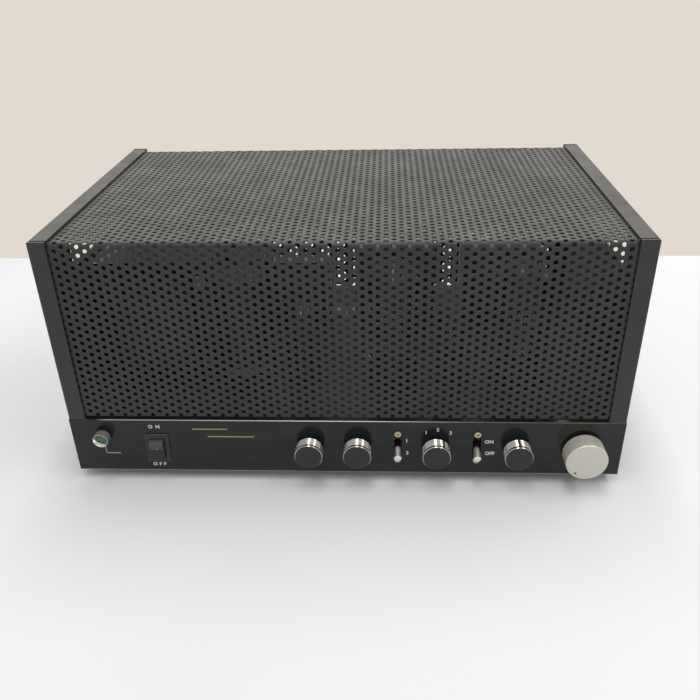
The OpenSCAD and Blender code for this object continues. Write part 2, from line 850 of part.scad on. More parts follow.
// Turned by an angle, clockwise seen from the front
module turned(x, angle) {
  on_panel(x, control_rise) rotate([0, 0, -angle]) children();
}

// Shaft from inside the control to inside the knob
module shaft() {
  back = wall_stack + shaft_sink - shaft_play;
  translate([0, 0, -back]) cylinder(d = shaft_d, h = back + knob_gap + socket_l - shaft_play);
}

module shaft_socket() {
  translate([0, 0, knob_gap - through]) cylinder(d = shaft_d + 2 * running_fit, h = socket_l + through);
}

// Black core of a small knob, and the shaft it is pressed on
module knob_core(x, angle) {
  color("#2e3030") turned(x, angle) {
    difference() {
      translate([0, 0, knob_gap]) cylinder(r = knob_d / 2 - sleeve_t - running_fit, h = knob_l - face_sink);
      shaft_socket();
    }
    shaft();
  }
}

// Bright sleeve of a small knob: a groove behind its rim and a pointer along its side
module knob_sleeve(x, angle) {
  outer = knob_d / 2;
  inner = outer - sleeve_t;
  groove = 0.25;
  groove_w = 1.3;
  rim = 0.8;
  chamfer = 0.3;
  color("#d4d4d0") turned(x, angle) translate([0, 0, knob_gap]) difference() {
    rotate_extrude() polygon([
      [inner, 0], [outer - groove, 0], [outer, groove], [outer, knob_l - rim - groove_w],
      [outer - groove, knob_l - rim - groove_w + groove], [outer - groove, knob_l - rim - groove],
      [outer, knob_l - rim], [outer, knob_l - chamfer], [outer - chamfer, knob_l], [inner, knob_l]
    ]);
    translate([-pointer_w / 2, outer - pointer_depth, -through])
      cube([pointer_w, knob_d, knob_l + 2 * through]);
  }
}

// Control body with its bushing and three lugs
module control_body(x, d, l) {
  lug = [2.4, 5, 0.8];
  on_panel(x, control_rise) difference() {
    union() {
      translate([0, 0, -wall_stack - l]) cylinder(d = d, h = l);
      translate([0, 0, -wall_stack]) cylinder(d = bush_d, h = wall_stack + nut_t + bush_proud);
      for (i = [-1, 0, 1])
        translate([i * 2 * lug[0], -d / 2, -wall_stack - lug[2] - 1]) cube(lug, center = true);
    }
    translate([0, 0, -wall_stack - shaft_sink])
      cylinder(d = shaft_d + 2 * running_fit, h = shaft_sink + wall_stack + nut_t + bush_proud + through);
  }
}

module bass_knob() {
  knob_core(bass_x, low_angle);
}

module bass_sleeve() {
  knob_sleeve(bass_x, low_angle);
}

module bass_pot() {
  color("#8d8f90") control_body(bass_x, pot_d, pot_l);
}

module treble_knob() {
  knob_core(treble_x, low_angle);
}

module treble_sleeve() {
  knob_sleeve(treble_x, low_angle);
}

module treble_pot() {
  color("#8d8f90") control_body(treble_x, pot_d, pot_l);
}

module selector_knob() {
  knob_core(selector_x, selector_angle);
}

module selector_sleeve() {
  knob_sleeve(selector_x, selector_angle);
}

module selector_switch() {
  color("#6f5a3c") control_body(selector_x, selector_d, selector_l);
}

module balance_knob() {
  knob_core(balance_x, 0);
}

module balance_sleeve() {
  knob_sleeve(balance_x, 0);
}

module balance_pot() {
  color("#8d8f90") control_body(balance_x, pot_d, pot_l);
}

// Turned knob with a rounded front edge and a dot near its rim
module volume_knob() {
  outer = volume_d / 2;
  r = volume_edge_r;
  dot_d = 1.5;
  dot_depth = 0.5;
  dot_place = 0.8;
  color("#b8b8b0") turned(volume_x, volume_angle) translate([0, 0, knob_gap]) difference() {
    rotate_extrude() {
      square([outer, volume_l - r]);
      square([outer - r, volume_l]);
      translate([outer - r, volume_l - r]) circle(r);
    }
    translate([0, 0, -knob_gap]) shaft_socket();
    translate([0, dot_place * outer, volume_l - dot_depth]) cylinder(d = dot_d, h = dot_depth + through);
  }
}

module volume_shaft() {
  color("#a0a2a4") turned(volume_x, volume_angle) shaft();
}

module volume_pot() {
  color("#8d8f90") control_body(volume_x, pot_d, volume_pot_l);
}

module control_nuts() {
  color("#a8aaac") for (x = bush_xs) on_panel(x, control_rise) linear_extrude(nut_t) difference() {
    hexagon(nut_af);
    circle(d = bush_d + 2 * running_fit);
  }
}

// Lever switches

// Switch body behind the panel, hollow round the lever's hub, with its pin
module lever_body(x) {
  wall = 2;
  cavity = lever_pivot + lever_hub_d / 2 + moving_gap;
  body_h = lever_screw_span + lever_screw_d + 2 * wall;
  color("#8a8c8e") on_panel(x, lever_rise) {
    difference() {
      translate([0, 0, -wall_stack - lever_body_l]) linear_extrude(lever_body_l)
        square([lever_body_w, body_h], center = true);
      translate([0, 0, -cavity]) linear_extrude(cavity) square([slot_w, slot_h], center = true);
      for (s = [-1, 1]) translate([0, s * lever_screw_span / 2, -wall_stack - lever_body_l + wall])
        cylinder(d = lever_screw_d + 2 * running_fit, h = lever_body_l);
    }
    translate([0, 0, -lever_pivot]) rotate([0, 90, 0])
      cylinder(d = pivot_pin_d, h = lever_body_w, center = true);
  }
}

// Round lever, pointing down: a hub on the pin and a tapered arm with a flat end
module lever(x) {
  root_r = lever_d / 2;
  tip_r = lever_tip_d / 2;
  round_off = 0.5;
  color("#c4c4c0") on_panel(x, lever_rise) translate([0, 0, -lever_pivot]) rotate([lever_throw / 2, 0, 0])
    difference() {
      union() {
        rotate([0, 90, 0]) cylinder(d = lever_hub_d, h = slot_w - 2 * moving_gap, center = true);
        rotate_extrude() polygon([
          [0, 0], [root_r, 0], [tip_r, lever_l - round_off], [tip_r - round_off, lever_l], [0, lever_l]
        ]);
      }
      rotate([0, 90, 0]) cylinder(d = pivot_pin_d + 2 * running_fit, h = slot_w, center = true);
    }
}

module monitor_lever() {
  lever(monitor_x);
}

module monitor_switch() {
  lever_body(monitor_x);
}

module loudness_lever() {
  lever(loudness_x);
}

module loudness_switch() {
  lever_body(loudness_x);
}

// Screws with a round recess, from the panel's face into the switch bodies
module lever_switch_screws() {
  color("#b9ad93") for (x = lever_xs, s = [-1, 1]) on_panel(x, lever_rise + s * lever_screw_span / 2)
    difference() {
      rotate([180, 0, 0]) screw(lever_screw, wall_stack + lever_screw_grip);
      translate([0, 0, lever_head_h - lever_recess]) cylinder(d = lever_recess_d, h = lever_recess + through);
    }
}

// Transformers

module mains_transformer_core() {
  color("#4c4a46") translate([mains_x, mains_y, deck_z + mains_h / 2]) along_y(mains_stack) difference() {
    square([mains_w, mains_h], center = true);
    clamp_holes();
  }
}

module clamp_holes() {
  for (sx = [-1, 1], sz = [-1, 1]) translate([sx * clamp_span_x / 2, sz * clamp_span_z / 2])
    circle(d = foot_screw[0] + 2 * hole_fit);
}

// End covers: a rim on the stack, a dome with round corners and a foot on the deck
module mains_transformer_covers() {
  dome_w = clamp_span_x - 2 * cover_margin_x;
  dome_h = mains_h - 2 * cover_margin_z;
  dome_r = 8;
  color("#222323") for (side = [0, 180]) translate([mains_x, mains_y, deck_z]) rotate([0, 0, side])
    translate([0, -mains_stack / 2, 0]) {
      translate([0, 0, mains_h / 2]) rotate([90, 0, 0]) {
        linear_extrude(cover_t) difference() {
          square([mains_w, mains_h], center = true);
          clamp_holes();
        }
        linear_extrude(cover_depth - dome_r / 2) round_plate(dome_w, dome_h, dome_r);
        linear_extrude(cover_depth) round_plate(dome_w - dome_r, dome_h - dome_r, dome_r / 2);
      }
      difference() {
        translate([-mains_w / 2, -cover_t - mains_foot_l, 0])
          cube([mains_w, mains_foot_l + cover_t, mains_foot_t]);
        for (s = [-1, 1]) translate([s * mains_screw_x, -cover_t - mains_foot_l / 2, -through])
          cylinder(d = foot_screw[0] + 2 * hole_fit, h = mains_foot_t + 2 * through);
      }
    }
}

// Clamping bolts with hexagon heads and nuts, and the screws that hold everything to the deck
module transformer_bolts() {
  head_t = 3;
  bolt_l = mains_stack + 2 * cover_t;
  deck_tail = 5;
  color("#c6a04a") {
    for (sx = [-1, 1], sz = [-1, 1])
      translate([mains_x + sx * clamp_span_x / 2, mains_y, deck_z + mains_h / 2 + sz * clamp_span_z / 2])
        rotate([90, 0, 0]) {
          cylinder(d = foot_screw[0], h = bolt_l, center = true);
          for (side = [0, 180]) rotate([side, 0, 0]) translate([0, 0, bolt_l / 2])
            linear_extrude(head_t) hexagon(foot_screw[0] + 3);
        }
    for (sx = [-1, 1], sy = [-1, 1])
      translate([mains_x + sx * mains_screw_x, mains_y + sy * mains_screw_y, deck_z + mains_foot_t])
        rotate([180, 0, 0]) screw(foot_screw, mains_foot_t + tray_t + deck_tail);
    for (u = strap_units, s = [-1, 1])
      translate([u[0] + s * (u[1] / 2 + strap_t + strap_foot / 2), output_y, deck_z + strap_t])
        rotate([180, 0, 0]) screw(small_screw, strap_t + tray_t + deck_tail);
  }
}

// Lamination stack with two windows beside its middle leg
module lamination(x, w, h, stack) {
  color("#55524c") translate([x, output_y, deck_z + h / 2]) along_y(stack) difference() {
    square([w, h], center = true);
    for (s = [-1, 1]) translate([s * w / 4, 0]) square([w / 6, h * window_share], center = true);
  }
}

module output_transformer_left() {
  lamination(output_left_x, output_w, output_h, output_stack);
}

module output_transformer_right() {
  lamination(output_right_x, output_w, output_h, output_stack);
}

module choke() {
  lamination(choke_x, choke_w, choke_h, choke_stack);
}

// Coil through both windows, round the middle leg
module coil(x, w, h, stack) {
  coil_h = h * window_share - 2 * hole_fit;
  translate([x, output_y, deck_z + h / 2 - coil_h / 2]) linear_extrude(coil_h) difference() {
    round_plate(2 * w / 3 - 2 * hole_fit, stack + 2 * coil_bulge, 4);
    square([w / 3 + 2 * hole_fit, stack + 2 * hole_fit], center = true);
  }
}

module transformer_coils() {
  color("#b58b4c") {
    coil(output_left_x, output_w, output_h, output_stack);
    coil(output_right_x, output_w, output_h, output_stack);
    coil(choke_x, choke_w, choke_h, choke_stack);
  }
}

// Straps over the three stacks, with a screwed foot at each side
module transformer_straps() {
  color("#7c7e80") for (u = strap_units) translate([u[0], output_y, deck_z]) difference() {
    along_y(strap_w) {
      difference() {
        translate([-u[1] / 2 - strap_t, 0]) square([u[1] + 2 * strap_t, u[2] + strap_t]);
        translate([-u[1] / 2, -through]) square([u[1], u[2] + through]);
      }
      for (s = [-1, 1]) translate([s * (u[1] / 2 + (strap_t + strap_foot) / 2), strap_t / 2])
        square([strap_t + strap_foot, strap_t], center = true);
    }
    for (s = [-1, 1]) translate([s * (u[1] / 2 + strap_t + strap_foot / 2), 0, -through])
      cylinder(d = small_screw[0] + 2 * hole_fit, h = strap_t + 2 * through);
  }
}

// Capacitors and tubes

// Cans with a crimped groove near the foot and a rolled edge at the top
module filter_capacitors() {
  r = can_d / 2;
  crimp = 1;
  crimp_z = 6;
  color("#3d4f66") for (y = can_ys) translate([can_x, y, deck_z]) rotate_extrude() polygon([
    [0, 0], [r, 0], [r, crimp_z], [r - crimp, crimp_z + crimp], [r, crimp_z + 2 * crimp],
    [r, can_h - crimp], [r - crimp, can_h], [r - 2 * crimp, can_h], [r - 2 * crimp, can_h - crimp],
    [0, can_h - crimp]
  ]);
}

module tube_socket(x, d, hole) {
  translate([x, tube_y, deck_z]) {
    cylinder(d = d, h = socket_h);
    translate([0, 0, -tray_t - socket_drop]) cylinder(d = hole - 2 * hole_fit, h = tray_t + socket_drop);
  }
}

module tube_sockets() {
  color("#3a2a1e") {
    for (x = power_tube_xs) tube_socket(x, power_socket_d, power_socket_hole);
    for (x = signal_tube_xs) tube_socket(x, signal_socket_d, signal_socket_hole);
  }
}

// Moulded base with a rolled waist
module power_tube_bases() {
  r = power_base_d / 2;
  waist = 1;
  color("#2a1d16") for (x = power_tube_xs) translate([x, tube_y, deck_z + socket_h])
    rotate_extrude() polygon([
      [0, 0], [r - waist, 0], [r, waist], [r, power_base_h / 3], [r - waist, power_base_h / 3 + waist],
      [r - waist, power_base_h - 2 * waist], [r, power_base_h - waist], [r, power_base_h], [0, power_base_h]
    ]);
}

// Half outline of a straight envelope with a round top
module envelope(r, h) {
  square([r, h - r]);
  intersection() {
    translate([0, h - r]) circle(r);
    square([r, h]);
  }
}

module glass_bulb(d, h) {
  rotate_extrude() difference() {
    envelope(d / 2, h);
    translate([0, -through]) envelope(d / 2 - glass_t, h - glass_t + through);
  }
}

module power_tube_glass() {
  color("#cfd8d8", 0.35) for (x = power_tube_xs) translate([x, tube_y, deck_z + socket_h + power_base_h])
    glass_bulb(power_glass_d, power_glass_h);
}

module signal_tube_glass() {
  color("#cfd8d8", 0.35) for (x = signal_tube_xs) translate([x, tube_y, deck_z + socket_h])
    glass_bulb(signal_glass_d, signal_glass_h);
}

// Flattened anode between two mica discs, on four rods that stand on the base
module electrodes(d, h) {
  mica_t = 0.6;
  rod_d = 1.2;
  mica_r = d / 2 - glass_t - moving_gap;
  low = h * 0.2;
  tall = h * 0.45;
  anode = [d * 0.6, d * 0.34];
  linear_extrude(low + tall) for (sx = [-1, 1], sy = [-1, 1])
    translate([sx * anode[0] / 3, sy * anode[1] / 4]) circle(d = rod_d);
  for (z = [low - mica_t, low + tall]) translate([0, 0, z]) cylinder(r = mica_r, h = mica_t);
  translate([0, 0, low]) linear_extrude(tall) round_plate(anode[0], anode[1], anode[1] / 4);
}

module power_tube_electrodes() {
  color("#4a4c4e") for (x = power_tube_xs) translate([x, tube_y, deck_z + socket_h + power_base_h])
    electrodes(power_glass_d, power_glass_h);
}

module signal_tube_electrodes() {
  color("#5a5c5e") for (x = signal_tube_xs) translate([x, tube_y, deck_z + socket_h])
    electrodes(signal_glass_d, signal_glass_h);
}

// Board and rear connectors

// Board hung from the deck on four spacers
module circuit_board() {
  board_t = 1.6;
  spacer_d = 6;
  spacer_inset = 6;
  spacer_z = deck_z - tray_t - spacer_l;
  board_y = rear_y - board_gap - board_d;
  color("#3c5a34") {
    translate([-board_w / 2, board_y, spacer_z - board_t]) cube([board_w, board_d, board_t]);
    for (s = [-1, 1], y = [spacer_inset, board_d - spacer_inset])
      translate([s * (board_w / 2 - spacer_inset), board_y + y, spacer_z])
        linear_extrude(spacer_l) hexagon(spacer_d);
  }
}

jack_floor = 1;
jack_bore = jack_d - 1.6;

// Jack shells with a collar on the panel and a tail behind it
module input_jacks() {
  collar_d = jack_d + 2.7;
  collar_t = 2;
  tail = 8;
  color("#c9b56a") for (x = jack_xs, rise = jack_rises) on_rear(x, rise) {
    difference() {
      union() {
        cylinder(d = jack_d, h = jack_l);
        cylinder(d = collar_d, h = collar_t);
      }
      translate([0, 0, jack_floor]) cylinder(d = jack_bore, h = jack_l);
    }
    translate([0, 0, -rear_t - tail]) cylinder(d = jack_tail_d, h = rear_t + tail);
  }
}

// Insulating inserts with the hole for a plug's pin
module input_jack_inserts() {
  pin_hole_d = 3.2;
  insert_l = jack_l - jack_floor - 0.5;
  color("#e6e3da") for (x = jack_xs, rise = jack_rises) on_rear(x, rise) translate([0, 0, jack_floor])
    difference() {
      cylinder(d = jack_bore - 2 * running_fit, h = insert_l);
      translate([0, 0, through]) cylinder(d = pin_hole_d, h = insert_l);
    }
}

// Speaker post: washer, cap with a chamfered end, plug hole and stud
module speaker_post(x) {
  washer = [post_d + 2, 2.5];
  tail = 10;
  chamfer = 0.8;
  on_rear(x, control_rise) difference() {
    union() {
      cylinder(d = washer[0], h = washer[1]);
      cylinder(d = post_d, h = post_l - chamfer);
      translate([0, 0, post_l - chamfer]) cylinder(d1 = post_d, d2 = post_d - 2 * chamfer, h = chamfer);
      translate([0, 0, -rear_t - tail]) cylinder(d = post_stud_d, h = rear_t + tail);
    }
    translate([0, 0, post_l - post_bore_l]) cylinder(d = post_bore, h = post_bore_l + through);
  }
}

module speaker_posts_red() {
  color("#a3211c") for (i = [0, 2]) speaker_post(post_xs[i]);
}

module speaker_posts_black() {
  color("#1d1d1d") for (i = [1, 3]) speaker_post(post_xs[i]);
}

// Mains inlet: flange, body and a socket with two cut corners
module mains_inlet() {
  wall = 2;
  corner = 4;
  w = inlet_mouth[0] / 2;
  h = inlet_mouth[1] / 2;
  color("#1f1f1f") on_rear(inlet_x, control_rise) difference() {
    union() {
      linear_extrude(inlet_flange[2]) round_plate(inlet_flange[0], inlet_flange[1], 2);
      translate([0, 0, -inlet_depth - wall]) linear_extrude(inlet_depth + wall)
        square(inlet_body, center = true);
    }
    translate([0, 0, -inlet_depth]) linear_extrude(inlet_depth + inlet_flange[2] + through)
      polygon([[-w, h], [w, h], [w, corner - h], [w - corner, -h], [corner - w, -h], [-w, corner - h]]);
  }
}

module mains_inlet_pins() {
  color("#c8c8c4") on_rear(inlet_x, control_rise) for (p = inlet_pins)
    translate([p[0], p[1], inlet_pin[2] / 2 - inlet_depth]) cube(inlet_pin, center = true);
}

// Fuse holder: collar, slotted cap and body
module fuse_holder() {
  color("#202020") on_rear(fuse_x, control_rise) difference() {
    union() {
      cylinder(d = fuse_collar_d, h = fuse_collar_t);
      cylinder(d = fuse_d, h = fuse_cap_l);
      translate([0, 0, -rear_t - fuse_body_l]) cylinder(d = fuse_d, h = rear_t + fuse_body_l);
    }
    translate([0, 0, fuse_cap_l]) cube([2 * fuse_d, fuse_slot_w, 2 * fuse_slot_depth], center = true);
  }
}

chassis_tray();
front_panel();
rear_panel();
bottom_plate();
rubber_feet();
case_screws();
cage_side_left();
cage_side_right();
grille_front();
grille_top();
grille_rear();
power_lamp_barrel();
power_lamp_lens();
power_switch_frame();
power_rocker();
bass_knob();
bass_sleeve();
bass_pot();
treble_knob();
treble_sleeve();
treble_pot();
selector_knob();
selector_sleeve();
selector_switch();
balance_knob();
balance_sleeve();
balance_pot();
volume_knob();
volume_shaft();
volume_pot();
monitor_lever();
monitor_switch();
loudness_lever();
loudness_switch();
lever_switch_screws();
control_nuts();
mains_transformer_core();
mains_transformer_covers();
transformer_bolts();
output_transformer_left();
output_transformer_right();
choke();
transformer_coils();
transformer_straps();
filter_capacitors();
tube_sockets();
power_tube_bases();
power_tube_glass();
power_tube_electrodes();
signal_tube_glass();
signal_tube_electrodes();
circuit_board();
input_jacks();
input_jack_inserts();
speaker_posts_red();
speaker_posts_black();
mains_inlet();
mains_inlet_pins();
fuse_holder();
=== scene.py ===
"""Looks of a stereo tube amplifier: finishes, perforated sheet, knob sleeves, marks, fittings and stage."""

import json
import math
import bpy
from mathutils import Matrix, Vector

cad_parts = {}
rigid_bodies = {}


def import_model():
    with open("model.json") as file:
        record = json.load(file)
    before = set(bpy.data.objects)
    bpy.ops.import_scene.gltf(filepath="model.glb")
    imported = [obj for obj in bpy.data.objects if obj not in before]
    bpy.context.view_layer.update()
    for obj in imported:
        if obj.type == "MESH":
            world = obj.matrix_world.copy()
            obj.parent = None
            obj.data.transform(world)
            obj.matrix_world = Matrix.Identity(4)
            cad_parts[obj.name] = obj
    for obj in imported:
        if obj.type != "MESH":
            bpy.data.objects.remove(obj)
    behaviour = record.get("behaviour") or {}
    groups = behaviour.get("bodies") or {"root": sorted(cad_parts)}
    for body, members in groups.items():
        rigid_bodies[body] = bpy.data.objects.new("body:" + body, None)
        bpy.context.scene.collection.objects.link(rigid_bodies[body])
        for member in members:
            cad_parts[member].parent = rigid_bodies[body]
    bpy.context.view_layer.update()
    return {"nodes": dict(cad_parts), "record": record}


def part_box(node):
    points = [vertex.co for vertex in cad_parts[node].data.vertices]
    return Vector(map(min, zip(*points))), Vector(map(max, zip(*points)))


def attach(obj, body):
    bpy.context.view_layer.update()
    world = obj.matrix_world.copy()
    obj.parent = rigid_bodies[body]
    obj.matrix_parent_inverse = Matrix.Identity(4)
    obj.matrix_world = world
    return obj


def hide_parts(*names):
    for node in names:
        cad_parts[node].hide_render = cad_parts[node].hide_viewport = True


bl_info = {
    "name": "Tube amplifier looks",
    "version": (1, 0, 0),
    "blender": (4, 5, 0),
    "location": "3D View > Sidebar > Amplifier",
    "description": "Dresses the amplifier's solids with fine perforated sheet, marks, finishes and light",
    "category": "Object",
}

import bmesh
import bpy
from mathutils import Matrix, Vector

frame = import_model()
NODES = frame["nodes"]
MM = 0.001

PANEL_LOW, PANEL_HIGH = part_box("front_panel")
REAR_LOW, REAR_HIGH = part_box("rear_panel")
FRONT_LOW, FRONT_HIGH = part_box("grille_front")
TOP_LOW, TOP_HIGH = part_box("grille_top")


# Settings a user would change

def length(name, description, millimetres):
    return bpy.props.FloatProperty(
        name=name, description=description, default=millimetres * MM, unit="LENGTH")


def colour_of(name, description, red, green, blue):
    return bpy.props.FloatVectorProperty(
        name=name, description=description, subtype="COLOR", size=4, default=(red, green, blue, 1))


class SheetSettings(bpy.types.PropertyGroup):
    """Sizes of the perforated sheet"""

    pitch: length("Hole pitch", "Distance between holes in one column", 5)
    hole: length("Hole diameter", "Diameter of one punched hole", 3.2)
    thickness: length("Thickness", "Thickness of the sheet", 1)
    bend_radius: length("Bend radius", "Outer radius of the two bends", 3)
    roll: length("Rolled edge", "Depth to which the punch pulled a hole's edge in", 0.2)
    first_row: length("First row", "Height of the lowest holes above the sheet's lower edge", 3.3)


class MarkSettings(bpy.types.PropertyGroup):
    """Sizes of the printed marks"""

    letter: length("Letter size", "Font size of the printed marks", 3.4)
    line: length("Line width", "Width of the printed lines", 0.35)
    print_height: length("Print height", "How far the print stands on the panel", 0.04)


class KnobSettings(bpy.types.PropertyGroup):
    """Sizes of the small knobs' sleeves and caps"""

    wall: length("Sleeve wall", "Thickness of a sleeve", 0.5)
    ring: length("Ring pitch", "Distance between turned rings", 0.39)
    ring_slope: bpy.props.FloatProperty(
        name="Ring slope", description="How far a ring's face leans to the front", default=math.radians(32),
        subtype="ANGLE")
    proud: length("Cap height", "How far a knob's black cap stands out of its sleeve", 0.85)


class FinishSettings(bpy.types.PropertyGroup):
    """Colours of the main finishes"""

    coat: colour_of("Cage coat", "Powder coat of the cage", 0.0258, 0.0280, 0.0271)
    panel: colour_of("Panel coat", "Smooth coat of the front panel", 0.0155, 0.0168, 0.0168)
    chrome: colour_of("Chrome", "Bright plating of sleeves, lamp and levers", 0.80, 0.80, 0.78)
    aluminium: colour_of("Aluminium", "Turned metal of the volume knob", 0.585, 0.57, 0.515)
    print_white: colour_of("White print", "Ink of the panel's letters and lines", 0.72, 0.73, 0.72)
    print_gold: colour_of("Gold print", "Ink of the panel's two bars", 0.40, 0.31, 0.11)


class StageSettings(bpy.types.PropertyGroup):
    """Floor, background, light and camera"""

    floor: colour_of("Floor", "Colour of the floor", 0.84, 0.84, 0.845)
    wall: colour_of("Background", "Colour behind the floor", 0.76, 0.70, 0.63)
    sky: bpy.props.FloatProperty(
        name="Sky", description="Strength of the even light from all round", default=0.50, min=0)
    lamp: bpy.props.FloatProperty(
        name="Overhead lamp", description="Power of the large lamp overhead", default=13, min=0, unit="POWER")
    lens: bpy.props.FloatProperty(
        name="Lens", description="Focal length of the camera in millimetres", default=38.36, min=10)


# Node trees

# Span that holds most of a noise's values, and the depths of a fine grain and of fine lines
NOISE_SPAN = (0.3, 0.7)
GRAIN_DEPTH = 0.1 * MM
LINE_DEPTH = 0.2 * MM


class Value:
    """One socket of a node tree; arithmetic on it adds Math nodes."""

    def __init__(self, finish, socket):
        self.finish = finish
        self.socket = socket

    def math(self, operation, first, second):
        return self.finish.node("ShaderNodeMath", {"operation": operation}, {0: first, 1: second})

    def __add__(self, other):
        return self.math("ADD", self, other)

    def __sub__(self, other):
        return self.math("SUBTRACT", self, other)

    def __rsub__(self, other):
        return self.math("SUBTRACT", other, self)

    def __mul__(self, other):
        return self.math("MULTIPLY", self, other)

    def __gt__(self, other):
        return self.math("GREATER_THAN", self, other)

    def __abs__(self):
        return self.math("ABSOLUTE", self, 0)

    def or_more(self, other):
        return self.math("MAXIMUM", self, other)


class Finish:
    """A material of one Principled shader, and the nodes that feed it."""

    def __init__(self, name, **shader):
        self.material = bpy.data.materials.new(name)
        self.material.use_nodes = True
        self.tree = self.material.node_tree
        self.shader = self.tree.nodes["Principled BSDF"]
        for socket, value in shader.items():
            self.shader.inputs[socket.replace("_", " ")].default_value = value

    def node(self, kind, settings=None, inputs=None, output=0):
        """Adds a node: its settings first, then the values or links of its sockets."""
        made = self.tree.nodes.new(kind)
        for key, value in (settings or {}).items():
            setattr(made, key, value)
        for key, value in (inputs or {}).items():
            if isinstance(value, Value):
                self.tree.links.new(value.socket, made.inputs[key])
            else:
                made.inputs[key].default_value = value
        return Value(self, made.outputs[output])

    def place(self, scale=(1, 1, 1), centre=(0, 0, 0)):
        """Object coordinates, moved to a centre and stretched."""
        spot = self.node("ShaderNodeTexCoord", output="Object")
        return self.node("ShaderNodeMapping", {"vector_type": "TEXTURE"}, {
            "Vector": spot, "Location": centre, "Scale": [1 / s for s in scale]})

    def noise(self, scale, detail, stretch=(1, 1, 1)):
        return self.node("ShaderNodeTexNoise", None, {
            "Vector": self.place(stretch), "Scale": scale, "Detail": detail})

    def span(self, value, low, high, new_low=0.0, new_high=1.0):
        """Maps a value's span on to another, and keeps it there."""
        return self.node("ShaderNodeMapRange", None, {0: value, 1: low, 2: high, 3: new_low, 4: new_high})

    def mix(self, factor, first, second):
        return self.node("ShaderNodeMix", {"data_type": "RGBA"}, {0: factor, 6: first, 7: second}, output=2)

    def vary(self, noise, low=0.0, high=1.0):
        """A number that follows a noise from low to high."""
        return self.span(noise, *NOISE_SPAN, low, high)

    def tint(self, noise, colour, dark, light):
        """A colour that follows a noise from a darker shade of itself to a lighter one."""
        return self.mix(self.vary(noise), shade(colour, dark), shade(colour, light))

    def radius(self, spot):
        """Distance from the line along Y through the middle of some coordinates."""
        flat = self.node("ShaderNodeVectorMath", {"operation": "MULTIPLY"}, {0: spot, 1: (1, 0, 1)})
        return self.node("ShaderNodeVectorMath", {"operation": "LENGTH"}, {0: flat}, output="Value")

    def axis(self, name, vector=None):
        """One part of a vector, or of the object coordinates."""
        spot = vector or self.node("ShaderNodeTexCoord", output="Object")
        return self.node("ShaderNodeSeparateXYZ", None, {0: spot}, output=name)

    def feed(self, socket, value):
        self.tree.links.new(value.socket, self.shader.inputs[socket])
        return self

    def bump(self, height, strength, distance):
        normal = self.node("ShaderNodeBump", None, {
            "Height": height, "Strength": strength, "Distance": distance})
        return self.feed("Normal", normal)


def shade(colour, factor):
    """A colour made darker or lighter."""
    return [min(1.0, c * factor) for c in colour[:3]] + [1.0]


# Finishes

# Roughness of the satin coat, from its glossiest spots to its dullest, and the usual black
SATIN = (0.34, 0.46)
BLACK = (0.014, 0.014, 0.014)


def powder_coat(name, colour, rough=SATIN, bends=None, grain=1900.0, specular=0.36, bump=0.10):
    """Fine-grained satin coat with faint cloudy wear, and upward faces painted paler: partly settled dust,
    partly painted light on the tops.

    Where the bends of a punched sheet are given, the walls of its holes get painted shade and a duller coat.
    """
    finish = Finish(name, Specular_IOR_Level=specular)
    cloud = finish.noise(28.0, 3.0)
    grain_noise = finish.noise(grain, 1.0)
    normal = finish.node("ShaderNodeNewGeometry", output="Normal")
    up = finish.axis("Z", normal)
    # Upward faces are painted paler: partly settled dust, partly painted light falling on the tops
    dust_and_light_level, dust_and_light_share, dust_and_light_colour = 0.6, 0.10, (0.20, 0.19, 0.17, 1)
    dust_and_light = finish.span(up, dust_and_light_level, 1.0, 0.0, dust_and_light_share) * finish.span(cloud, 0.35, 0.7)
    coat = finish.mix(dust_and_light, finish.tint(cloud, colour, 0.85, 1.2), dust_and_light_colour)
    gloss = finish.vary(finish.noise(90.0, 4.0), *rough)
    if bends:
        middle, reach, height = bends
        standing = abs(finish.axis("Y") - middle) > reach
        lying = finish.axis("Z") > height
        front = standing * abs(finish.axis("Y", normal))
        facing = front.or_more(lying * abs(up))
        # Painted shade: the walls of the holes are painted darker, as if in shadow; their coat is also duller
        hole_wall_painted_shade, wall_dullness = 0.2, 0.35
        wall = finish.span(facing, 0.1, 0.5, 1.0, 0.0)
        coat = finish.mix(wall, coat, shade(colour, hole_wall_painted_shade))
        gloss = gloss + wall * wall_dullness
    finish.feed("Base Color", coat)
    finish.feed("Roughness", gloss)
    return finish.bump(grain_noise, bump, GRAIN_DEPTH).material


def smooth_coat(name, colour, low, high, edge=0.38 * MM, rough=0.11, specular=0.31):
    """Smooth dark coat with faint smears, worn to the metal along its upper and lower front edges; on the
    upper edge the metal is hidden by painted shade under the cage's flange and fades towards the right.
    """
    finish = Finish(name, Specular_IOR_Level=specular)
    smear = finish.noise(40.0, 4.0, (0.5, 1, 2.5))
    coat = finish.tint(smear, colour, 0.85, 1.2)
    ragged, bare_metal = 0.15 * MM, (0.5, 0.5, 0.48, 1)
    # Painted shade: no bare metal on the upper edge left of the cage's flange, where its shadow falls;
    # further right the bare metal fades to a quarter
    flange_shade_end, flange_shade_clear, light_fade_end = -153 * MM, -147 * MM, 90 * MM
    height = finish.axis("Z") + finish.noise(120.0, 3.0) * ragged
    along = finish.axis("X")
    painted_light_share = finish.span(along, flange_shade_end, flange_shade_clear, 0.0, 0.8) * finish.span(along, 0.0, light_fade_end, 1.0, 0.25)
    worn = (height > high.z - edge) * painted_light_share + (1 - (height > low.z + 2 * edge)) * 0.8
    bare = worn * (1 - (finish.axis("Y") > low.y + edge))
    finish.feed("Base Color", finish.mix(bare, coat, bare_metal))
    finish.feed("Metallic", bare * 0.8)
    finish.feed("Roughness", finish.vary(smear, rough * 0.9, rough * 1.2) + bare * 0.25)
    return finish.bump(finish.noise(1500.0, 1.0), 0.02, GRAIN_DEPTH).material


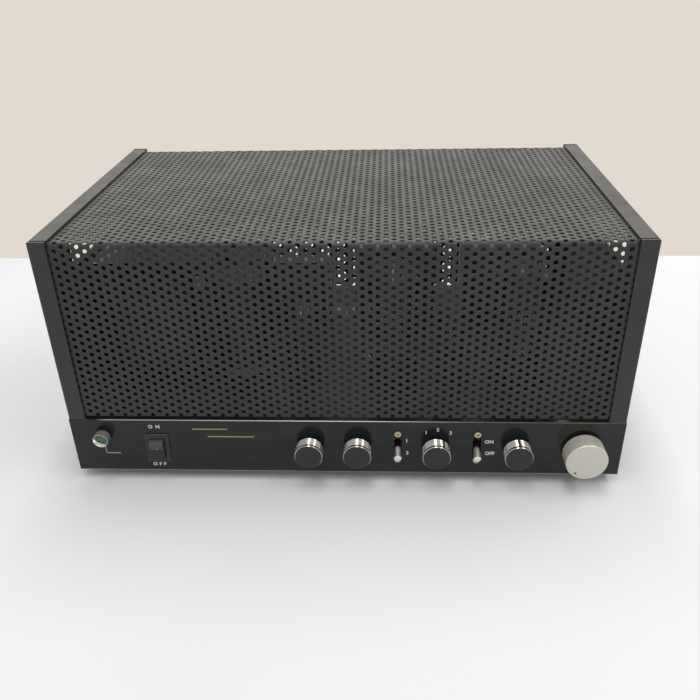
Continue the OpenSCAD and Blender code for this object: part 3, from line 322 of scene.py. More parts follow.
def clouded(name, colour, noise, shades, rough, **shader):
    """A finish whose colour and roughness follow one noise."""
    finish = Finish(name, **shader)
    cloud = finish.noise(*noise)
    finish.feed("Base Color", finish.tint(cloud, colour, *shades))
    return finish.feed("Roughness", finish.vary(cloud, *rough))


def bright_metal(name, colour, rough, scale=300.0, stretch=(1, 1, 1)):
    """Plated metal with faint polishing lines."""
    return clouded(name, colour, (scale, 3.0, stretch), (0.9, 1.08), rough, Metallic=1.0).material


def turned_metal(name, colour, centre, outer, rough=(0.30, 0.42), groove=0.1):
    """Satin metal turned about a line along Y: fine rings on its face, streaks along its side."""
    finish = Finish(name, Metallic=0.55)
    spot = finish.place(centre=centre)
    radius = finish.radius(spot)
    rings = finish.node("ShaderNodeTexNoise", {"noise_dimensions": "1D"}, {
        "W": radius + finish.axis("Y", spot), "Scale": 2600.0, "Detail": 2.0})
    side_start, side_full = 0.975 * outer, 0.995 * outer
    side = finish.span(radius, side_start, side_full)
    side_colours = (0.8, 0.77, 0.64, 1), (1.0, 0.98, 0.84, 1)
    streak = finish.noise(260.0, 3.0, (1, 0.02, 1))
    face = finish.tint(rings, colour, 0.96, 1.04)
    wall = finish.mix(finish.vary(streak), *side_colours)
    finish.feed("Base Color", finish.mix(side, face, wall))
    finish.feed("Roughness", finish.vary(rings, *rough))
    return finish.bump(rings, groove, LINE_DEPTH).material


def lever_metal(name, colour, face_y):
    """Satin plated lever, dark where it enters the switch behind the panel's face."""
    finish = Finish(name)
    slot_lip, shadow = 0.3 * MM, (0.012, 0.012, 0.011, 1)
    inside = finish.axis("Y") > face_y + slot_lip
    lines = finish.noise(500.0, 3.0, (1, 0.1, 1))
    plate = finish.tint(lines, colour, 1.1, 1.25)
    finish.feed("Base Color", finish.mix(inside, plate, shadow))
    finish.feed("Metallic", 1 - inside)
    finish.feed("Roughness", finish.vary(lines, 0.3, 0.44))
    return finish.material


def lamp_metal(name, colour, centre, face_y):
    """Pilot lamp's barrel: polished bore, satin outside, and a collar painted dark as the shadow against the
    panel.
    """
    finish = Finish(name)
    spot = finish.place(centre=centre)
    radius = finish.radius(spot)
    bore, collar_height = 4.25 * MM, 2.1 * MM
    # Painted shadow: the collar next to the panel is painted nearly black
    collar_painted_shadow = (0.02, 0.02, 0.02, 1)
    outside = radius > bore
    collar = finish.axis("Y") > face_y - collar_height
    lines = finish.noise(500.0, 3.0, (1, 0.08, 1))
    satin = finish.tint(lines, colour, 0.34, 0.42)
    satin_with_shadow = finish.mix(collar, satin, collar_painted_shadow)
    finish.feed("Base Color", finish.mix(outside, shade(colour, 1), satin_with_shadow))
    finish.feed("Metallic", 1 - outside * 0.55)
    finish.feed("Roughness", finish.vary(lines, 0.12, 0.2) + outside * 0.16)
    return finish.material


def moulded_grain(finish):
    return finish.bump(finish.noise(900.0, 2.0), 0.05, GRAIN_DEPTH).material


def moulding(name, colour, rough):
    """Moulded plastic, rubber or phenolic with a fine grain."""
    return moulded_grain(clouded(name, colour, (150.0, 3.0), (0.85, 1.15), rough))


def dust_and_highlight_edge(name, colour):
    """Black moulding, paler with dust and a painted highlight on every edge that turns away from the front.
    """
    finish = Finish(name)
    turned = finish.axis("Y", finish.node("ShaderNodeNewGeometry", output="Normal"))
    # Pale edges: partly dust, partly a painted highlight where the edges catch light
    dust_and_light = finish.span(turned, -0.95, -0.5) * finish.span(finish.noise(200.0, 3.0), 0.2, 0.6, 0.6, 1.0)
    dust_and_light_colour = (0.06, 0.06, 0.058, 1)
    finish.feed("Base Color", finish.mix(dust_and_light, shade(colour, 1), dust_and_light_colour))
    finish.feed("Roughness", finish.span(dust_and_light, 0.0, 1.0, 0.3, 0.5))
    return moulded_grain(finish)


def rocker_with_painted_light(name, middle):
    """Black rocker, its upper half painted a lighter grey as painted light from above."""
    finish = Finish(name)
    grain = finish.noise(300.0, 3.0)
    ragged, below, above = 0.8 * MM, 0.4 * MM, 1.2 * MM
    height = finish.axis("Z") + grain * ragged
    # Painted light: the upper half is painted a lighter grey where light falls on it
    painted_light_share = finish.span(height, middle - below, middle + above)
    black, grey = (0.010, 0.010, 0.010, 1), (0.05, 0.05, 0.05, 1)
    finish.feed("Base Color", finish.mix(painted_light_share, black, grey))
    finish.feed("Roughness", finish.vary(grain, 0.3, 0.42))
    return moulded_grain(finish)


def laminations(name, colour):
    """Stacked iron sheets: thin lines across Y, with varnish clouds."""
    finish = Finish(name, Metallic=0.4)
    lines = finish.node("ShaderNodeTexWave", {"bands_direction": "Y"}, {
        "Vector": finish.place(), "Scale": 330.0, "Distortion": 0.6, "Detail": 1.0})
    cloud = finish.noise(60.0, 4.0)
    finish.feed("Base Color", finish.mix(lines * 0.6 + cloud * 0.4, shade(colour, 0.5), shade(colour, 1.5)))
    finish.feed("Roughness", finish.vary(cloud, 0.38, 0.6))
    return finish.bump(lines, 0.35, LINE_DEPTH).material


def wrapped_paper(name, colour):
    """Varnished paper round a coil, with a wrap line every few millimetres."""
    finish = Finish(name, Coat_Roughness=0.3)
    wrap_depth = 0.3 * MM
    lines = finish.node("ShaderNodeTexWave", {"bands_direction": "Z"}, {
        "Vector": finish.place(), "Scale": 45.0, "Distortion": 1.5, "Detail": 2.0})
    cloud = finish.noise(70.0, 4.0)
    finish.feed("Base Color", finish.mix(cloud * 0.7 + lines * 0.3, shade(colour, 0.6), shade(colour, 1.25)))
    finish.feed("Roughness", finish.vary(cloud, 0.35, 0.55))
    return finish.bump(lines, 0.2, wrap_depth).material


def shrink_sleeve(name, colour, low, high):
    """Plastic sleeve of a can, with a pale stripe round its foot and bare metal on top."""
    finish = Finish(name)
    rim, stripe_low, stripe_high = 1.6 * MM, 0.16, 0.22
    stripe_grey, bare_metal = (0.55, 0.56, 0.56, 1), (0.16, 0.16, 0.16, 1)
    height = finish.axis("Z")
    bare = height > high - rim
    cloud = finish.noise(80.0, 3.0)
    sleeve = finish.tint(cloud, colour, 0.9, 1.1)
    above = height > low + stripe_low * (high - low)
    stripe = above * (1 - (height > low + stripe_high * (high - low)))
    marked = finish.mix(stripe * 0.8, sleeve, stripe_grey)
    finish.feed("Base Color", finish.mix(bare, marked, bare_metal))
    finish.feed("Metallic", bare)
    finish.feed("Roughness", finish.vary(cloud, 0.25, 0.36))
    return finish.material


def bulb_glass(name, top, flash):
    """Clear thin glass, silvered inside its top."""
    finish = Finish(name, Transmission_Weight=1.0, IOR=1.45, Base_Color=(0.93, 0.95, 0.95, 1))
    ragged, soft = 6 * MM, 5 * MM
    height = finish.axis("Z") + finish.noise(160.0, 3.0) * ragged
    silver = finish.span(height, top - flash, top - flash + soft)
    finish.feed("Roughness", finish.span(silver, 0, 1, 0.02, 0.16))
    glass = Value(finish, finish.shader.outputs[0])
    metal = finish.node("ShaderNodeBsdfPrincipled", None, {
        "Base Color": (0.10, 0.10, 0.105, 1), "Metallic": 1.0, "Roughness": 0.2})
    blended = finish.node("ShaderNodeMixShader", None, {0: silver, 1: glass, 2: metal})
    finish.tree.links.new(blended.socket, finish.tree.nodes["Material Output"].inputs["Surface"])
    return finish.material


def tinted_lens(name, colour):
    """Coloured lens, a little cloudy behind a shiny skin."""
    return clouded(name, colour, (500.0, 2.0), (0.8, 1.3), (0.1, 0.2), Transmission_Weight=0.35,
                   Coat_Weight=0.6, Coat_Roughness=0.05).material


def printed(name, colour):
    """Screen-printed ink, a little uneven."""
    return clouded(name, colour, (900.0, 2.0), (0.86, 1.05), (0.4, 0.55)).material


MADE = {}


def make_finishes(colours):
    """Every finish, by the record's slot names and a few of the scene's own."""
    knob_low, knob_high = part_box("volume_knob")
    rocker_low, rocker_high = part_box("power_rocker")
    lamp_low, lamp_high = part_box("power_lamp_barrel")
    can_low, can_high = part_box("filter_capacitors")
    power_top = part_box("power_tube_glass")[1].z
    signal_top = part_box("signal_tube_glass")[1].z
    chrome = colours.chrome
    bend = bpy.context.scene.amp_sheet.bend_radius
    bends = ((TOP_LOW.y + TOP_HIGH.y) / 2, (TOP_HIGH.y - TOP_LOW.y) / 2 - bend, TOP_HIGH.z - bend)
    recipes = {
        "chassis_black": (powder_coat, colours.coat),
        "panel_black": (smooth_coat, colours.panel, PANEL_LOW, PANEL_HIGH),
        "bottom_zinc": (bright_metal, (0.46, 0.47, 0.48), (0.3, 0.5), 60.0),
        "rubber_black": (moulding, (0.018, 0.018, 0.018), (0.6, 0.8)),
        "screw_steel": (bright_metal, (0.55, 0.55, 0.54), (0.2, 0.4)),
        "cage_black": (powder_coat, colours.coat),
        "mesh_black": (powder_coat, colours.coat, SATIN, bends),
        "bright_chrome": (bright_metal, shade(chrome, 0.53), (0.14, 0.22), 400.0, (0.3, 6, 0.3)),
        "lever_chrome": (lever_metal, chrome, PANEL_LOW.y),
        "lamp_chrome": (lamp_metal, chrome, (lamp_low + lamp_high) / 2, PANEL_LOW.y),
        "lens_green": (tinted_lens, (0.03, 0.16, 0.05)),
        "switch_black": (moulding, BLACK, (0.28, 0.4)),
        "rim_black": (dust_and_highlight_edge, BLACK),
        "rocker_satin": (rocker_with_painted_light, (rocker_low.z + rocker_high.z) / 2),
        "knob_black": (moulding, (0.009, 0.0095, 0.0095), (0.4, 0.52)),
        "volume_aluminium": (turned_metal, colours.aluminium, (knob_low + knob_high) / 2,
                             (knob_high.x - knob_low.x) / 2),
        "control_zinc": (bright_metal, (0.44, 0.45, 0.46), (0.3, 0.45)),
        "phenolic_brown": (moulding, (0.05, 0.025, 0.016), (0.25, 0.4)),
        "screw_nickel": (bright_metal, (0.56, 0.50, 0.38), (0.25, 0.4)),
        "lamination_grey": (laminations, (0.11, 0.10, 0.09)),
        "cover_black": (powder_coat, BLACK, (0.22, 0.34)),
        "yellow_zinc": (bright_metal, (0.66, 0.44, 0.14), (0.2, 0.35)),
        "coil_paper": (wrapped_paper, (0.13, 0.075, 0.028)),
        "strap_steel": (bright_metal, (0.32, 0.33, 0.34), (0.3, 0.45)),
        "can_sleeve": (shrink_sleeve, (0.012, 0.014, 0.02), can_low.z, can_high.z),
        "electrode_grey": (moulding, (0.06, 0.06, 0.065), (0.45, 0.6)),
        "board_green": (moulding, (0.04, 0.10, 0.03), (0.2, 0.35)),
        "jack_gold": (bright_metal, (0.72, 0.55, 0.22), (0.15, 0.3)),
        "insert_white": (moulding, (0.72, 0.70, 0.65), (0.3, 0.4)),
        "post_red": (moulding, (0.33, 0.016, 0.012), (0.2, 0.3)),
        "post_black": (moulding, BLACK, (0.2, 0.3)),
        "inlet_black": (moulding, BLACK, (0.35, 0.5)),
        "pin_nickel": (bright_metal, (0.72, 0.71, 0.68), (0.15, 0.25)),
        "power_bulb": (bulb_glass, power_top, 16 * MM),
        "signal_bulb": (bulb_glass, signal_top, 9 * MM),
        "print_white": (printed, colours.print_white),
        "print_gold": (printed, colours.print_gold),
        "print_black": (printed, (0.008, 0.008, 0.008)),
        "print_grey": (printed, (0.24, 0.24, 0.24)),
    }
    for name, (maker, *values) in recipes.items():
        MADE[name] = maker(name, *values)


# Modelling by hand

# Sides of a turned piece and of a dot, and the distance within which points are welded
ROUND_SIDES, DOT_SIDES = 72, 24
WELD = 0.002 * MM


def start():
    """Leaves edit mode and deselects everything."""
    if bpy.context.object and bpy.context.object.mode != "OBJECT":
        bpy.ops.object.mode_set(mode="OBJECT")
    bpy.ops.object.select_all(action="DESELECT")


def only(piece):
    """Selects one piece and makes it active."""
    start()
    piece.select_set(True)
    bpy.context.view_layer.objects.active = piece


def added(name):
    """Names the piece that the last step added."""
    piece = bpy.context.object
    piece.name = name
    piece.data.name = name
    return piece


def edit(piece, kind="VERT"):
    """Opens a piece in edit mode with nothing selected."""
    only(piece)
    bpy.ops.object.mode_set(mode="EDIT")
    bpy.ops.mesh.select_mode(type=kind)
    bpy.ops.mesh.select_all(action="DESELECT")


def select_all():
    bpy.ops.mesh.select_all(action="SELECT")


def choose(piece, test, part="verts"):
    """Selects the vertices, edges or faces that a test picks, and nothing else."""
    shape = bmesh.from_edit_mesh(piece.data)
    for kind in (shape.faces, shape.edges, shape.verts):
        for element in kind:
            element.select_set(False)
    for element in getattr(shape, part):
        if test(element):
            element.select_set(True)
    shape.select_flush_mode()
    bmesh.update_edit_mesh(piece.data)


def apply_all(piece):
    only(piece)
    bpy.ops.object.transform_apply(location=True, rotation=True, scale=True)


def add_modifier(piece, kind, **settings):
    """Adds a modifier with its settings and applies it."""
    only(piece)
    modifier = piece.modifiers.new(kind.title(), kind)
    for key, value in settings.items():
        setattr(modifier, key, value)
    bpy.ops.object.modifier_apply(modifier=modifier.name)


def soften(piece, width):
    """Bevels every edge of a piece."""
    edit(piece, "EDGE")
    select_all()
    bpy.ops.mesh.bevel(offset=width, segments=2, affect="EDGES")
    start()
    return piece


def dress(piece, finish, body, smooth=None):
    """Gives a finished piece its material and body."""
    only(piece)
    piece.data.materials.clear()
    piece.data.materials.append(MADE[finish])
    if smooth is not None:
        bpy.ops.object.shade_smooth_by_angle(angle=math.radians(smooth))
    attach(piece, body)
    return piece


def join(pieces, name):
    start()
    for piece in pieces:
        piece.select_set(True)
    bpy.context.view_layer.objects.active = pieces[0]
    bpy.ops.object.join()
    return added(name)


def mounts(prefix):
    """The record's mounts whose names begin in one way."""
    return [m for m in frame["record"]["mounts"] if m["name"].startswith(prefix)]


class AMP_OT_finishes(bpy.types.Operator):
    """Gives every solid its finish"""

    bl_idname = "amp.finishes"
    bl_label = "Finishes"

    def execute(self, context):
        make_finishes(context.scene.amp_finish)
        special = {"power_tube_glass": "power_bulb", "signal_tube_glass": "signal_bulb",
                   "power_lamp_barrel": "lamp_chrome", "power_rocker": "rocker_satin"}
        for part in frame["record"]["subparts"]:
            node = NODES[part["node"]]
            finish = MADE[special.get(part["node"], part["material_slot"])]
            if not node.material_slots:
                raise RuntimeError(f"{part['node']} has no material slot")
            for slot in node.material_slots:
                slot.material = finish
        return {"FINISHED"}


class AMP_OT_perforated_sheet(bpy.types.Operator):
    """Punches one flat sheet, folds it over front, top and rear, and thickens it"""

    bl_idname = "amp.perforated_sheet"
    bl_label = "Perforated sheet"
    bend_steps = 4
    hole_sides = 12
    roll_width = 0.85
    corner_from = 1.2
    weld_share = 0.01
    spare_rows = 3
    line_slack = 1e-7
    wall_slack = 1e-6

    def ring(self, radius, next_radius, rise):
        """Grows the chosen edge loop by one ring of faces."""
        bpy.ops.mesh.extrude_edges_move(TRANSFORM_OT_translate={"value": (0, 0, rise)})
        grow = next_radius / radius
        bpy.ops.transform.resize(value=(grow, grow, 1), center_override=(0, 0, 0))

    def tile(self, sheet):
        """A round hole with a rolled edge in a hexagon, and its neighbour half a pitch higher."""
        start()
        radius = sheet.hole / 2
        rim = radius + self.roll_width * sheet.roll
        half = sheet.pitch / 2
        bpy.ops.mesh.primitive_circle_add(vertices=self.hole_sides, radius=radius)
        piece = added("perforated_sheet")
        edit(piece)
        select_all()
        bpy.ops.transform.translate(value=(0, 0, -sheet.roll))
        self.ring(radius, rim, sheet.roll)
        self.ring(rim, half, 0)

        def is_corner(vertex):
            angle = round(math.degrees(math.atan2(vertex.co.y, vertex.co.x)))
            return vertex.co.length > self.corner_from * rim and angle % 60 == 0

        choose(piece, is_corner)
        reach = 2 / math.sqrt(3)
        bpy.ops.transform.resize(value=(reach, reach, 1), center_override=(0, 0, 0))
        select_all()
        bpy.ops.mesh.duplicate_move(TRANSFORM_OT_translate={"value": (half * math.sqrt(3), half, 0)})
        return piece

    def spread(self, piece, pitch, width, whole, first_row):
        """Repeats the tile over the flat sheet and trims it to its edges."""
        step = pitch * math.sqrt(3)
        columns = 2 * math.ceil(width / 2 / step) + 1
        rows = math.ceil(whole / pitch) + self.spare_rows
        for count, offset in ((columns, (step, 0, 0)), (rows, (0, pitch, 0))):
            add_modifier(piece, "ARRAY", count=count, use_relative_offset=False, use_constant_offset=True,
                         constant_offset_displace=offset)
        edit(piece)
        select_all()
        bpy.ops.transform.translate(value=(-step * (columns // 2), first_row - pitch, 0))
        bpy.ops.mesh.remove_doubles(threshold=pitch * self.weld_share)
        bpy.ops.mesh.normals_make_consistent(inside=False)
        for side in (-1, 1):
            self.cut((side * width / 2, 0, 0), (side, 0, 0), True)
        self.cut((0, 0, 0), (0, -1, 0), True)
        self.cut((0, whole, 0), (0, 1, 0), True)

    def cut(self, point, normal, trim=False):
        """Cuts the sheet along a plane, and can drop what lies beyond it."""
        select_all()
        bpy.ops.mesh.bisect(plane_co=point, plane_no=normal, clear_outer=trim, clear_inner=False)

    def fold(self, joint, side):
        """Turns what lies beyond a joint line down by one step of the bend."""
        turn = math.radians(90 / self.bend_steps)
        bpy.ops.transform.rotate(value=side * turn, orient_axis="X", center_override=(0, joint, 0))

    def split(self, piece, test):
        """Takes the faces that a test picks off into a piece of their own."""
        before = set(bpy.data.objects)
        choose(piece, test, "faces")
        bpy.ops.mesh.separate(type="SELECTED")
        made = [o for o in bpy.data.objects if o not in before]
        if len(made) != 1:
            raise RuntimeError("the perforated sheet did not split")
        return made[0]

    def execute(self, context):
        sheet = context.scene.amp_sheet
        middle_r = sheet.bend_radius - sheet.thickness / 2
        wall = FRONT_HIGH.z - FRONT_LOW.z
        arc = middle_r * math.pi / 2
        flat = TOP_HIGH.y - TOP_LOW.y - 2 * sheet.bend_radius
        width = FRONT_HIGH.x - FRONT_LOW.x
        whole = 2 * wall + 2 * arc + flat
        front_line = wall + arc
        rear_line = front_line + flat
        piece = self.tile(sheet)
        self.spread(piece, sheet.pitch, width, whole, sheet.first_row)
        steps = [(k + 0.5) * arc / self.bend_steps for k in range(self.bend_steps)]
        for line in [wall, whole - wall] + [front_line - s for s in steps] + [rear_line + s for s in steps]:
            self.cut((0, line, 0), (0, 1, 0))
        self.cut((0, 0, 0), (1, 0, 0))
        shape = bmesh.from_edit_mesh(piece.data)
        flat_y = {v.index: v.co.y for v in shape.verts}
        centre_y = {f.index: f.calc_center_median().y for f in shape.faces}
        for step in reversed(steps):
            choose(piece, lambda v: flat_y[v.index] < front_line - step - self.line_slack)
            self.fold(front_line - step, -1)
            choose(piece, lambda v: flat_y[v.index] > rear_line + step + self.line_slack)
            self.fold(rear_line + step, 1)
        select_all()
        middle = (TOP_LOW.y + TOP_HIGH.y) / 2
        bpy.ops.transform.translate(value=(0, middle - whole / 2, TOP_HIGH.z - sheet.thickness / 2))
        front = self.split(piece, lambda f: centre_y[f.index] < wall)
        low = TOP_HIGH.z - sheet.bend_radius - self.wall_slack

        def on_rear_wall(face):
            centre = face.calc_center_median()
            return centre.z < low and centre.y > middle

        rear = self.split(piece, on_rear_wall)
        for name, part in {"front": front, "rear": rear, "top": piece}.items():
            edit(part)
            right = self.split(part, lambda f: f.calc_center_median().x > 0)
            for side, half in {"left": part, "right": right}.items():
                only(half)
                half.name = f"sheet_{name}_{side}"
                half.data.name = half.name
                add_modifier(half, "SOLIDIFY", thickness=sheet.thickness, offset=0.0, use_even_offset=True)
                dress(half, "mesh_black", "cage", smooth=35)
                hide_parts("grille_" + name)
        return {"FINISHED"}


def lathe(name, outline, centre, steps=ROUND_SIDES):
    """Turns a closed outline of radius and Y about the line along Y through a centre."""
    start()
    radius, y = outline[0]
    bpy.ops.mesh.primitive_circle_add(vertices=steps, radius=radius, location=(centre.x, y, centre.z),
                                      rotation=(math.radians(90), 0, 0))
    piece = added(name)
    apply_all(piece)
    edit(piece, "EDGE")
    select_all()
    for next_radius, next_y in outline[1:] + outline[:1]:
        bpy.ops.mesh.extrude_edges_move(TRANSFORM_OT_translate={"value": (0, next_y - y, 0)})
        grow = next_radius / radius
        bpy.ops.transform.resize(value=(grow, 1, grow), center_override=(centre.x, next_y, centre.z))
        radius, y = next_radius, next_y
    select_all()
    bpy.ops.mesh.remove_doubles(threshold=WELD)
    bpy.ops.mesh.normals_make_consistent(inside=False)
    start()
    return piece


def disc(name, place, radius, thickness, tilt, rim=0.2):
    """Small round dot with a bevelled rim, facing the front and leaning back by a tilt."""
    start()
    bpy.ops.mesh.primitive_cylinder_add(vertices=DOT_SIDES, radius=radius, depth=thickness, location=place,
                                        rotation=(math.radians(90) + tilt, 0, 0))
    piece = added(name)
    apply_all(piece)
    return soften(piece, rim * thickness)


class AMP_OT_knob_sleeves(bpy.types.Operator):
    """Turns the small knobs' sleeves with fine rings, lays in pointer lines and sets black caps"""

    bl_idname = "amp.knob_sleeves"
    bl_label = "Knob sleeves"
    pointers = {"bass": -150, "treble": -150, "selector": 30, "balance": 0}
    groove = 0.25 * MM
    band, groove_end, rim, chamfer = 2.1 * MM, 1.05 * MM, 0.8 * MM, 0.45 * MM
    ring_share = 0.85
    line_width, line_depth, line_sink, line_margin = 1.1 * MM, 0.3 * MM, 0.09 * MM, 0.7 * MM
    line_edge, face_slack = 0.05 * MM, 0.1 * MM
    cap_root, cap_edge, cap_gap = 0.5 * MM, 0.3 * MM, 0.03 * MM

    def outline(self, low, high, knob):
        """From the sleeve's foot over ringed side, groove and rim, back down inside."""
        outer = (high.x - low.x) / 2
        inner = outer - knob.wall
        front, back = low.y, high.y
        points = [(inner, back), (outer - self.groove, back)]
        foot = back - self.groove
        band_end = front + self.band
        count = max(1, round((foot - band_end) / knob.ring))
        pitch = (foot - band_end) / count
        run = self.ring_share * pitch
        drop = run * math.tan(knob.ring_slope)
        for k in range(count):
            y = foot - k * pitch
            points += [(outer, y), (outer - drop, y - run)]
        points += [(outer - self.groove, band_end), (outer - self.groove, front + self.groove_end)]
        points += [(outer, front + self.rim), (outer, front + self.chamfer)]
        return points + [(outer - self.chamfer, front), (inner, front)]

    def pointer(self, name, centre, low, high, turn):
        """One dark line along a sleeve's side."""
        start()
        outer = (high.x - low.x) / 2
        reach = outer - self.line_sink
        place = (centre.x + reach * math.sin(turn), (low.y + high.y) / 2, centre.z + reach * math.cos(turn))
        size = (self.line_width, high.y - low.y - self.line_margin, self.line_depth)
        bpy.ops.mesh.primitive_cube_add(size=1, location=place, rotation=(0, turn, 0), scale=size)
        piece = added(name)
        apply_all(piece)
        return soften(piece, self.line_edge)

    def cap(self, name, centre, root, front, radius):
        """Black face of a knob, standing out of its sleeve, with a rounded edge."""
        start()
        depth = self.cap_root + root - front
        bpy.ops.mesh.primitive_cylinder_add(
            vertices=ROUND_SIDES, radius=radius, depth=depth, rotation=(math.radians(90), 0, 0),
            location=(centre.x, front + depth / 2, centre.z))
        piece = added(name)
        apply_all(piece)
        edit(piece, "EDGE")
        choose(piece, lambda e: all(v.co.y < front + self.face_slack for v in e.verts), "edges")
        bpy.ops.mesh.bevel(offset=self.cap_edge, segments=3, affect="EDGES")
        start()
        return piece

    def execute(self, context):
        knob = context.scene.amp_knob
        for body, degrees in self.pointers.items():
            low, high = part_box(body + "_sleeve")
            core_low, core_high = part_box(body + "_knob")
            centre = (core_low + core_high) / 2
            sleeve = lathe(body + "_ringed_sleeve", self.outline(low, high, knob), centre)
            dress(sleeve, "bright_chrome", body, smooth=20)
            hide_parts(body + "_sleeve")
            line = self.pointer(body + "_pointer", centre, low, high, math.radians(degrees))
            dress(line, "print_black", body, smooth=30)
            radius = (high.x - low.x) / 2 - knob.wall - self.cap_gap
            cap = self.cap(body + "_cap", centre, core_low.y, core_low.y - knob.proud, radius)
            dress(cap, "knob_black", body, smooth=30)
        return {"FINISHED"}


class AMP_OT_switch_rim(bpy.types.Operator):
    """Rounds off the mains switch's bezel with a soft edged rim"""

    bl_idname = "amp.switch_rim"
    bl_label = "Switch rim"
    margin = 0.5 * MM
    proud, panel_gap, edge = 0.06 * MM, 0.02 * MM, 0.45 * MM

    def execute(self, context):
        low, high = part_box("power_switch_frame")
        rocker_low, rocker_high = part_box("power_rocker")
        centre = (low + high) / 2
        margin = Vector((self.margin, 0, self.margin))
        outer = Vector((high.x - low.x, 0, high.z - low.z)) + margin
        window = rocker_high - rocker_low + margin
        front = low.y - self.proud
        start()
        bpy.ops.mesh.primitive_plane_add(size=1, location=(centre.x, front, centre.z),
                                         rotation=(math.radians(90), 0, 0))
        rim = added("switch_rim")
        rim.scale = (outer.x, outer.z, 1)
        apply_all(rim)
        edit(rim, "FACE")
        select_all()
        bpy.ops.mesh.inset(thickness=(outer.x - window.x) / 2, depth=0)
        fit = window.z / (outer.z - (outer.x - window.x))
        bpy.ops.transform.resize(value=(1, 1, fit), center_override=(centre.x, front, centre.z))
        bpy.ops.mesh.delete(type="FACE")
        start()
        add_modifier(rim, "SOLIDIFY", thickness=PANEL_LOW.y - self.panel_gap - front, offset=-1)
        add_modifier(rim, "BEVEL", width=self.edge, segments=4, limit_method="ANGLE",
                     angle_limit=math.radians(60))
        dress(rim, "rim_black", "chassis", smooth=40)
        return {"FINISHED"}


class AMP_OT_control_dots(bpy.types.Operator):
    """Paints the volume knob's dot and the rocker's dot"""

    bl_idname = "amp.control_dots"
    bl_label = "Control dots"
    volume_reach, volume_degrees, volume_sink = 0.8, -142, 0.25 * MM
    volume_size = (0.72 * MM, 0.3 * MM)
    rocker_sink, rocker_lift, rocker_degrees = 1.8 * MM, 0.5 * MM, 26.5
    rocker_size = (0.8 * MM, 0.2 * MM)

    def execute(self, context):
        low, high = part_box("volume_knob")
        centre = (low + high) / 2
        reach = self.volume_reach * (high.x - low.x) / 2
        turn = math.radians(self.volume_degrees)
        across, up = reach * math.sin(turn), reach * math.cos(turn)
        place = (centre.x + across, low.y + self.volume_sink, centre.z + up)
        dress(disc("volume_dot", place, *self.volume_size, 0), "print_black", "volume", smooth=30)
        low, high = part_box("power_rocker")
        centre = (low + high) / 2
        place = (centre.x, low.y + self.rocker_sink, centre.z + self.rocker_lift)
        dot = disc("rocker_dot", place, *self.rocker_size, math.radians(self.rocker_degrees))
        dress(dot, "print_grey", "power_rocker", smooth=30)
        return {"FINISHED"}


def lettering(text, x, z, size, spacing, face_y, turn, height):
    """One word as a thin mesh standing on a panel's face."""
    start()
    bpy.ops.object.text_add()
    word = bpy.context.object
    word.data.body = text
    word.data.size = size
    word.data.align_x = "CENTER"
    word.data.align_y = "CENTER"
    word.data.space_character = spacing
    word.data.extrude = height / 2
    word.data.offset = 0.03 * size
    word.data.resolution_u = 3
    bpy.ops.object.convert(target="MESH")
    word.rotation_euler = (math.radians(90), 0, turn)
    word.location = (x, face_y, z)
    apply_all(word)
    return word


def bar(x0, z0, x1, z1, width, face_y, height):
    """One printed line between two points of the front panel."""
    start()
    bpy.ops.mesh.primitive_cube_add(size=1)
    line = bpy.context.object
    run = Vector((x1 - x0, 0, z1 - z0))
    line.scale = (run.length + width, height, width)
    line.rotation_euler = (0, -math.atan2(z1 - z0, x1 - x0), 0)
    line.location = ((x0 + x1) / 2, face_y, (z0 + z1) / 2)
    apply_all(line)
    return line


class AMP_OT_panel_marks(bpy.types.Operator):
    """Prints the front panel's letters, numbers, leader line and gold bars"""

    bl_idname = "amp.panel_marks"
    bl_label = "Panel marks"
    words = (
        ("ON", -117.3, 33.8, 2.1), ("OFF", -117.7, 5.1, 1.7),
        ("ON", 89.3, 24.3, 1.0), ("OFF", 90.2, 15.6, 1.0),
        ("1", 39.0, 24.6, 1.0), ("2", 39.5, 15.5, 1.0),
        ("1", 50.7, 30.9, 1.0), ("2", 57.8, 33.1, 1.0), ("3", 65.6, 30.8, 1.0),
    )
    leader = ((-150.5, 18.4, -150.4, 13.6), (-150.4, 13.6, -141.7, 13.6))
    bars = ((-93.0, 32.3, -72.0, 32.4), (-84.0, 26.8, -55.7, 26.8))
    bar_width = 2.2

    def execute(self, context):
        mark = context.scene.amp_mark
        face_y = PANEL_LOW.y
        base = PANEL_LOW.z
        made = [lettering(text, x * MM, base + z * MM, mark.letter, gap, face_y, 0, mark.print_height)
                for text, x, z, gap in self.words]

        def line(ends, width):
            x0, z0, x1, z1 = (n * MM for n in ends)
            return bar(x0, base + z0, x1, base + z1, width, face_y, mark.print_height)

        made += [line(ends, mark.line) for ends in self.leader]
        dress(join(made, "panel_marks"), "print_white", "chassis")
        gold = [line(ends, self.bar_width * mark.line) for ends in self.bars]
        dress(join(gold, "panel_bars"), "print_gold", "chassis")
        return {"FINISHED"}


class AMP_OT_rear_marks(bpy.types.Operator):
    """Numbers the rear panel's jacks and signs its speaker posts"""

    bl_idname = "amp.rear_marks"
    bl_label = "Rear marks"
    number_drop = 2.6 * MM
    sign_lift, sign_size = 12 * MM, 1.5

    def execute(self, context):
        mark = context.scene.amp_mark
        face_y = REAR_HIGH.y
        made = []
        for jack in mounts("jack_sleeve_1_"):
            number = jack["name"].rsplit("_", 1)[1]
            made.append(lettering(number, jack["pos_m"][0], REAR_HIGH.z - self.number_drop, mark.letter, 1.0,
                                  face_y, math.pi, mark.print_height))
        for place, post in enumerate(mounts("speaker_post_")):
            sign = "+" if place % 2 == 0 else "-"
            made.append(lettering(sign, post["pos_m"][0], post["pos_m"][2] + self.sign_lift,
                                  self.sign_size * mark.letter, 1.0, face_y, math.pi, mark.print_height))
        dress(join(made, "rear_marks"), "print_white", "chassis")
        return {"FINISHED"}


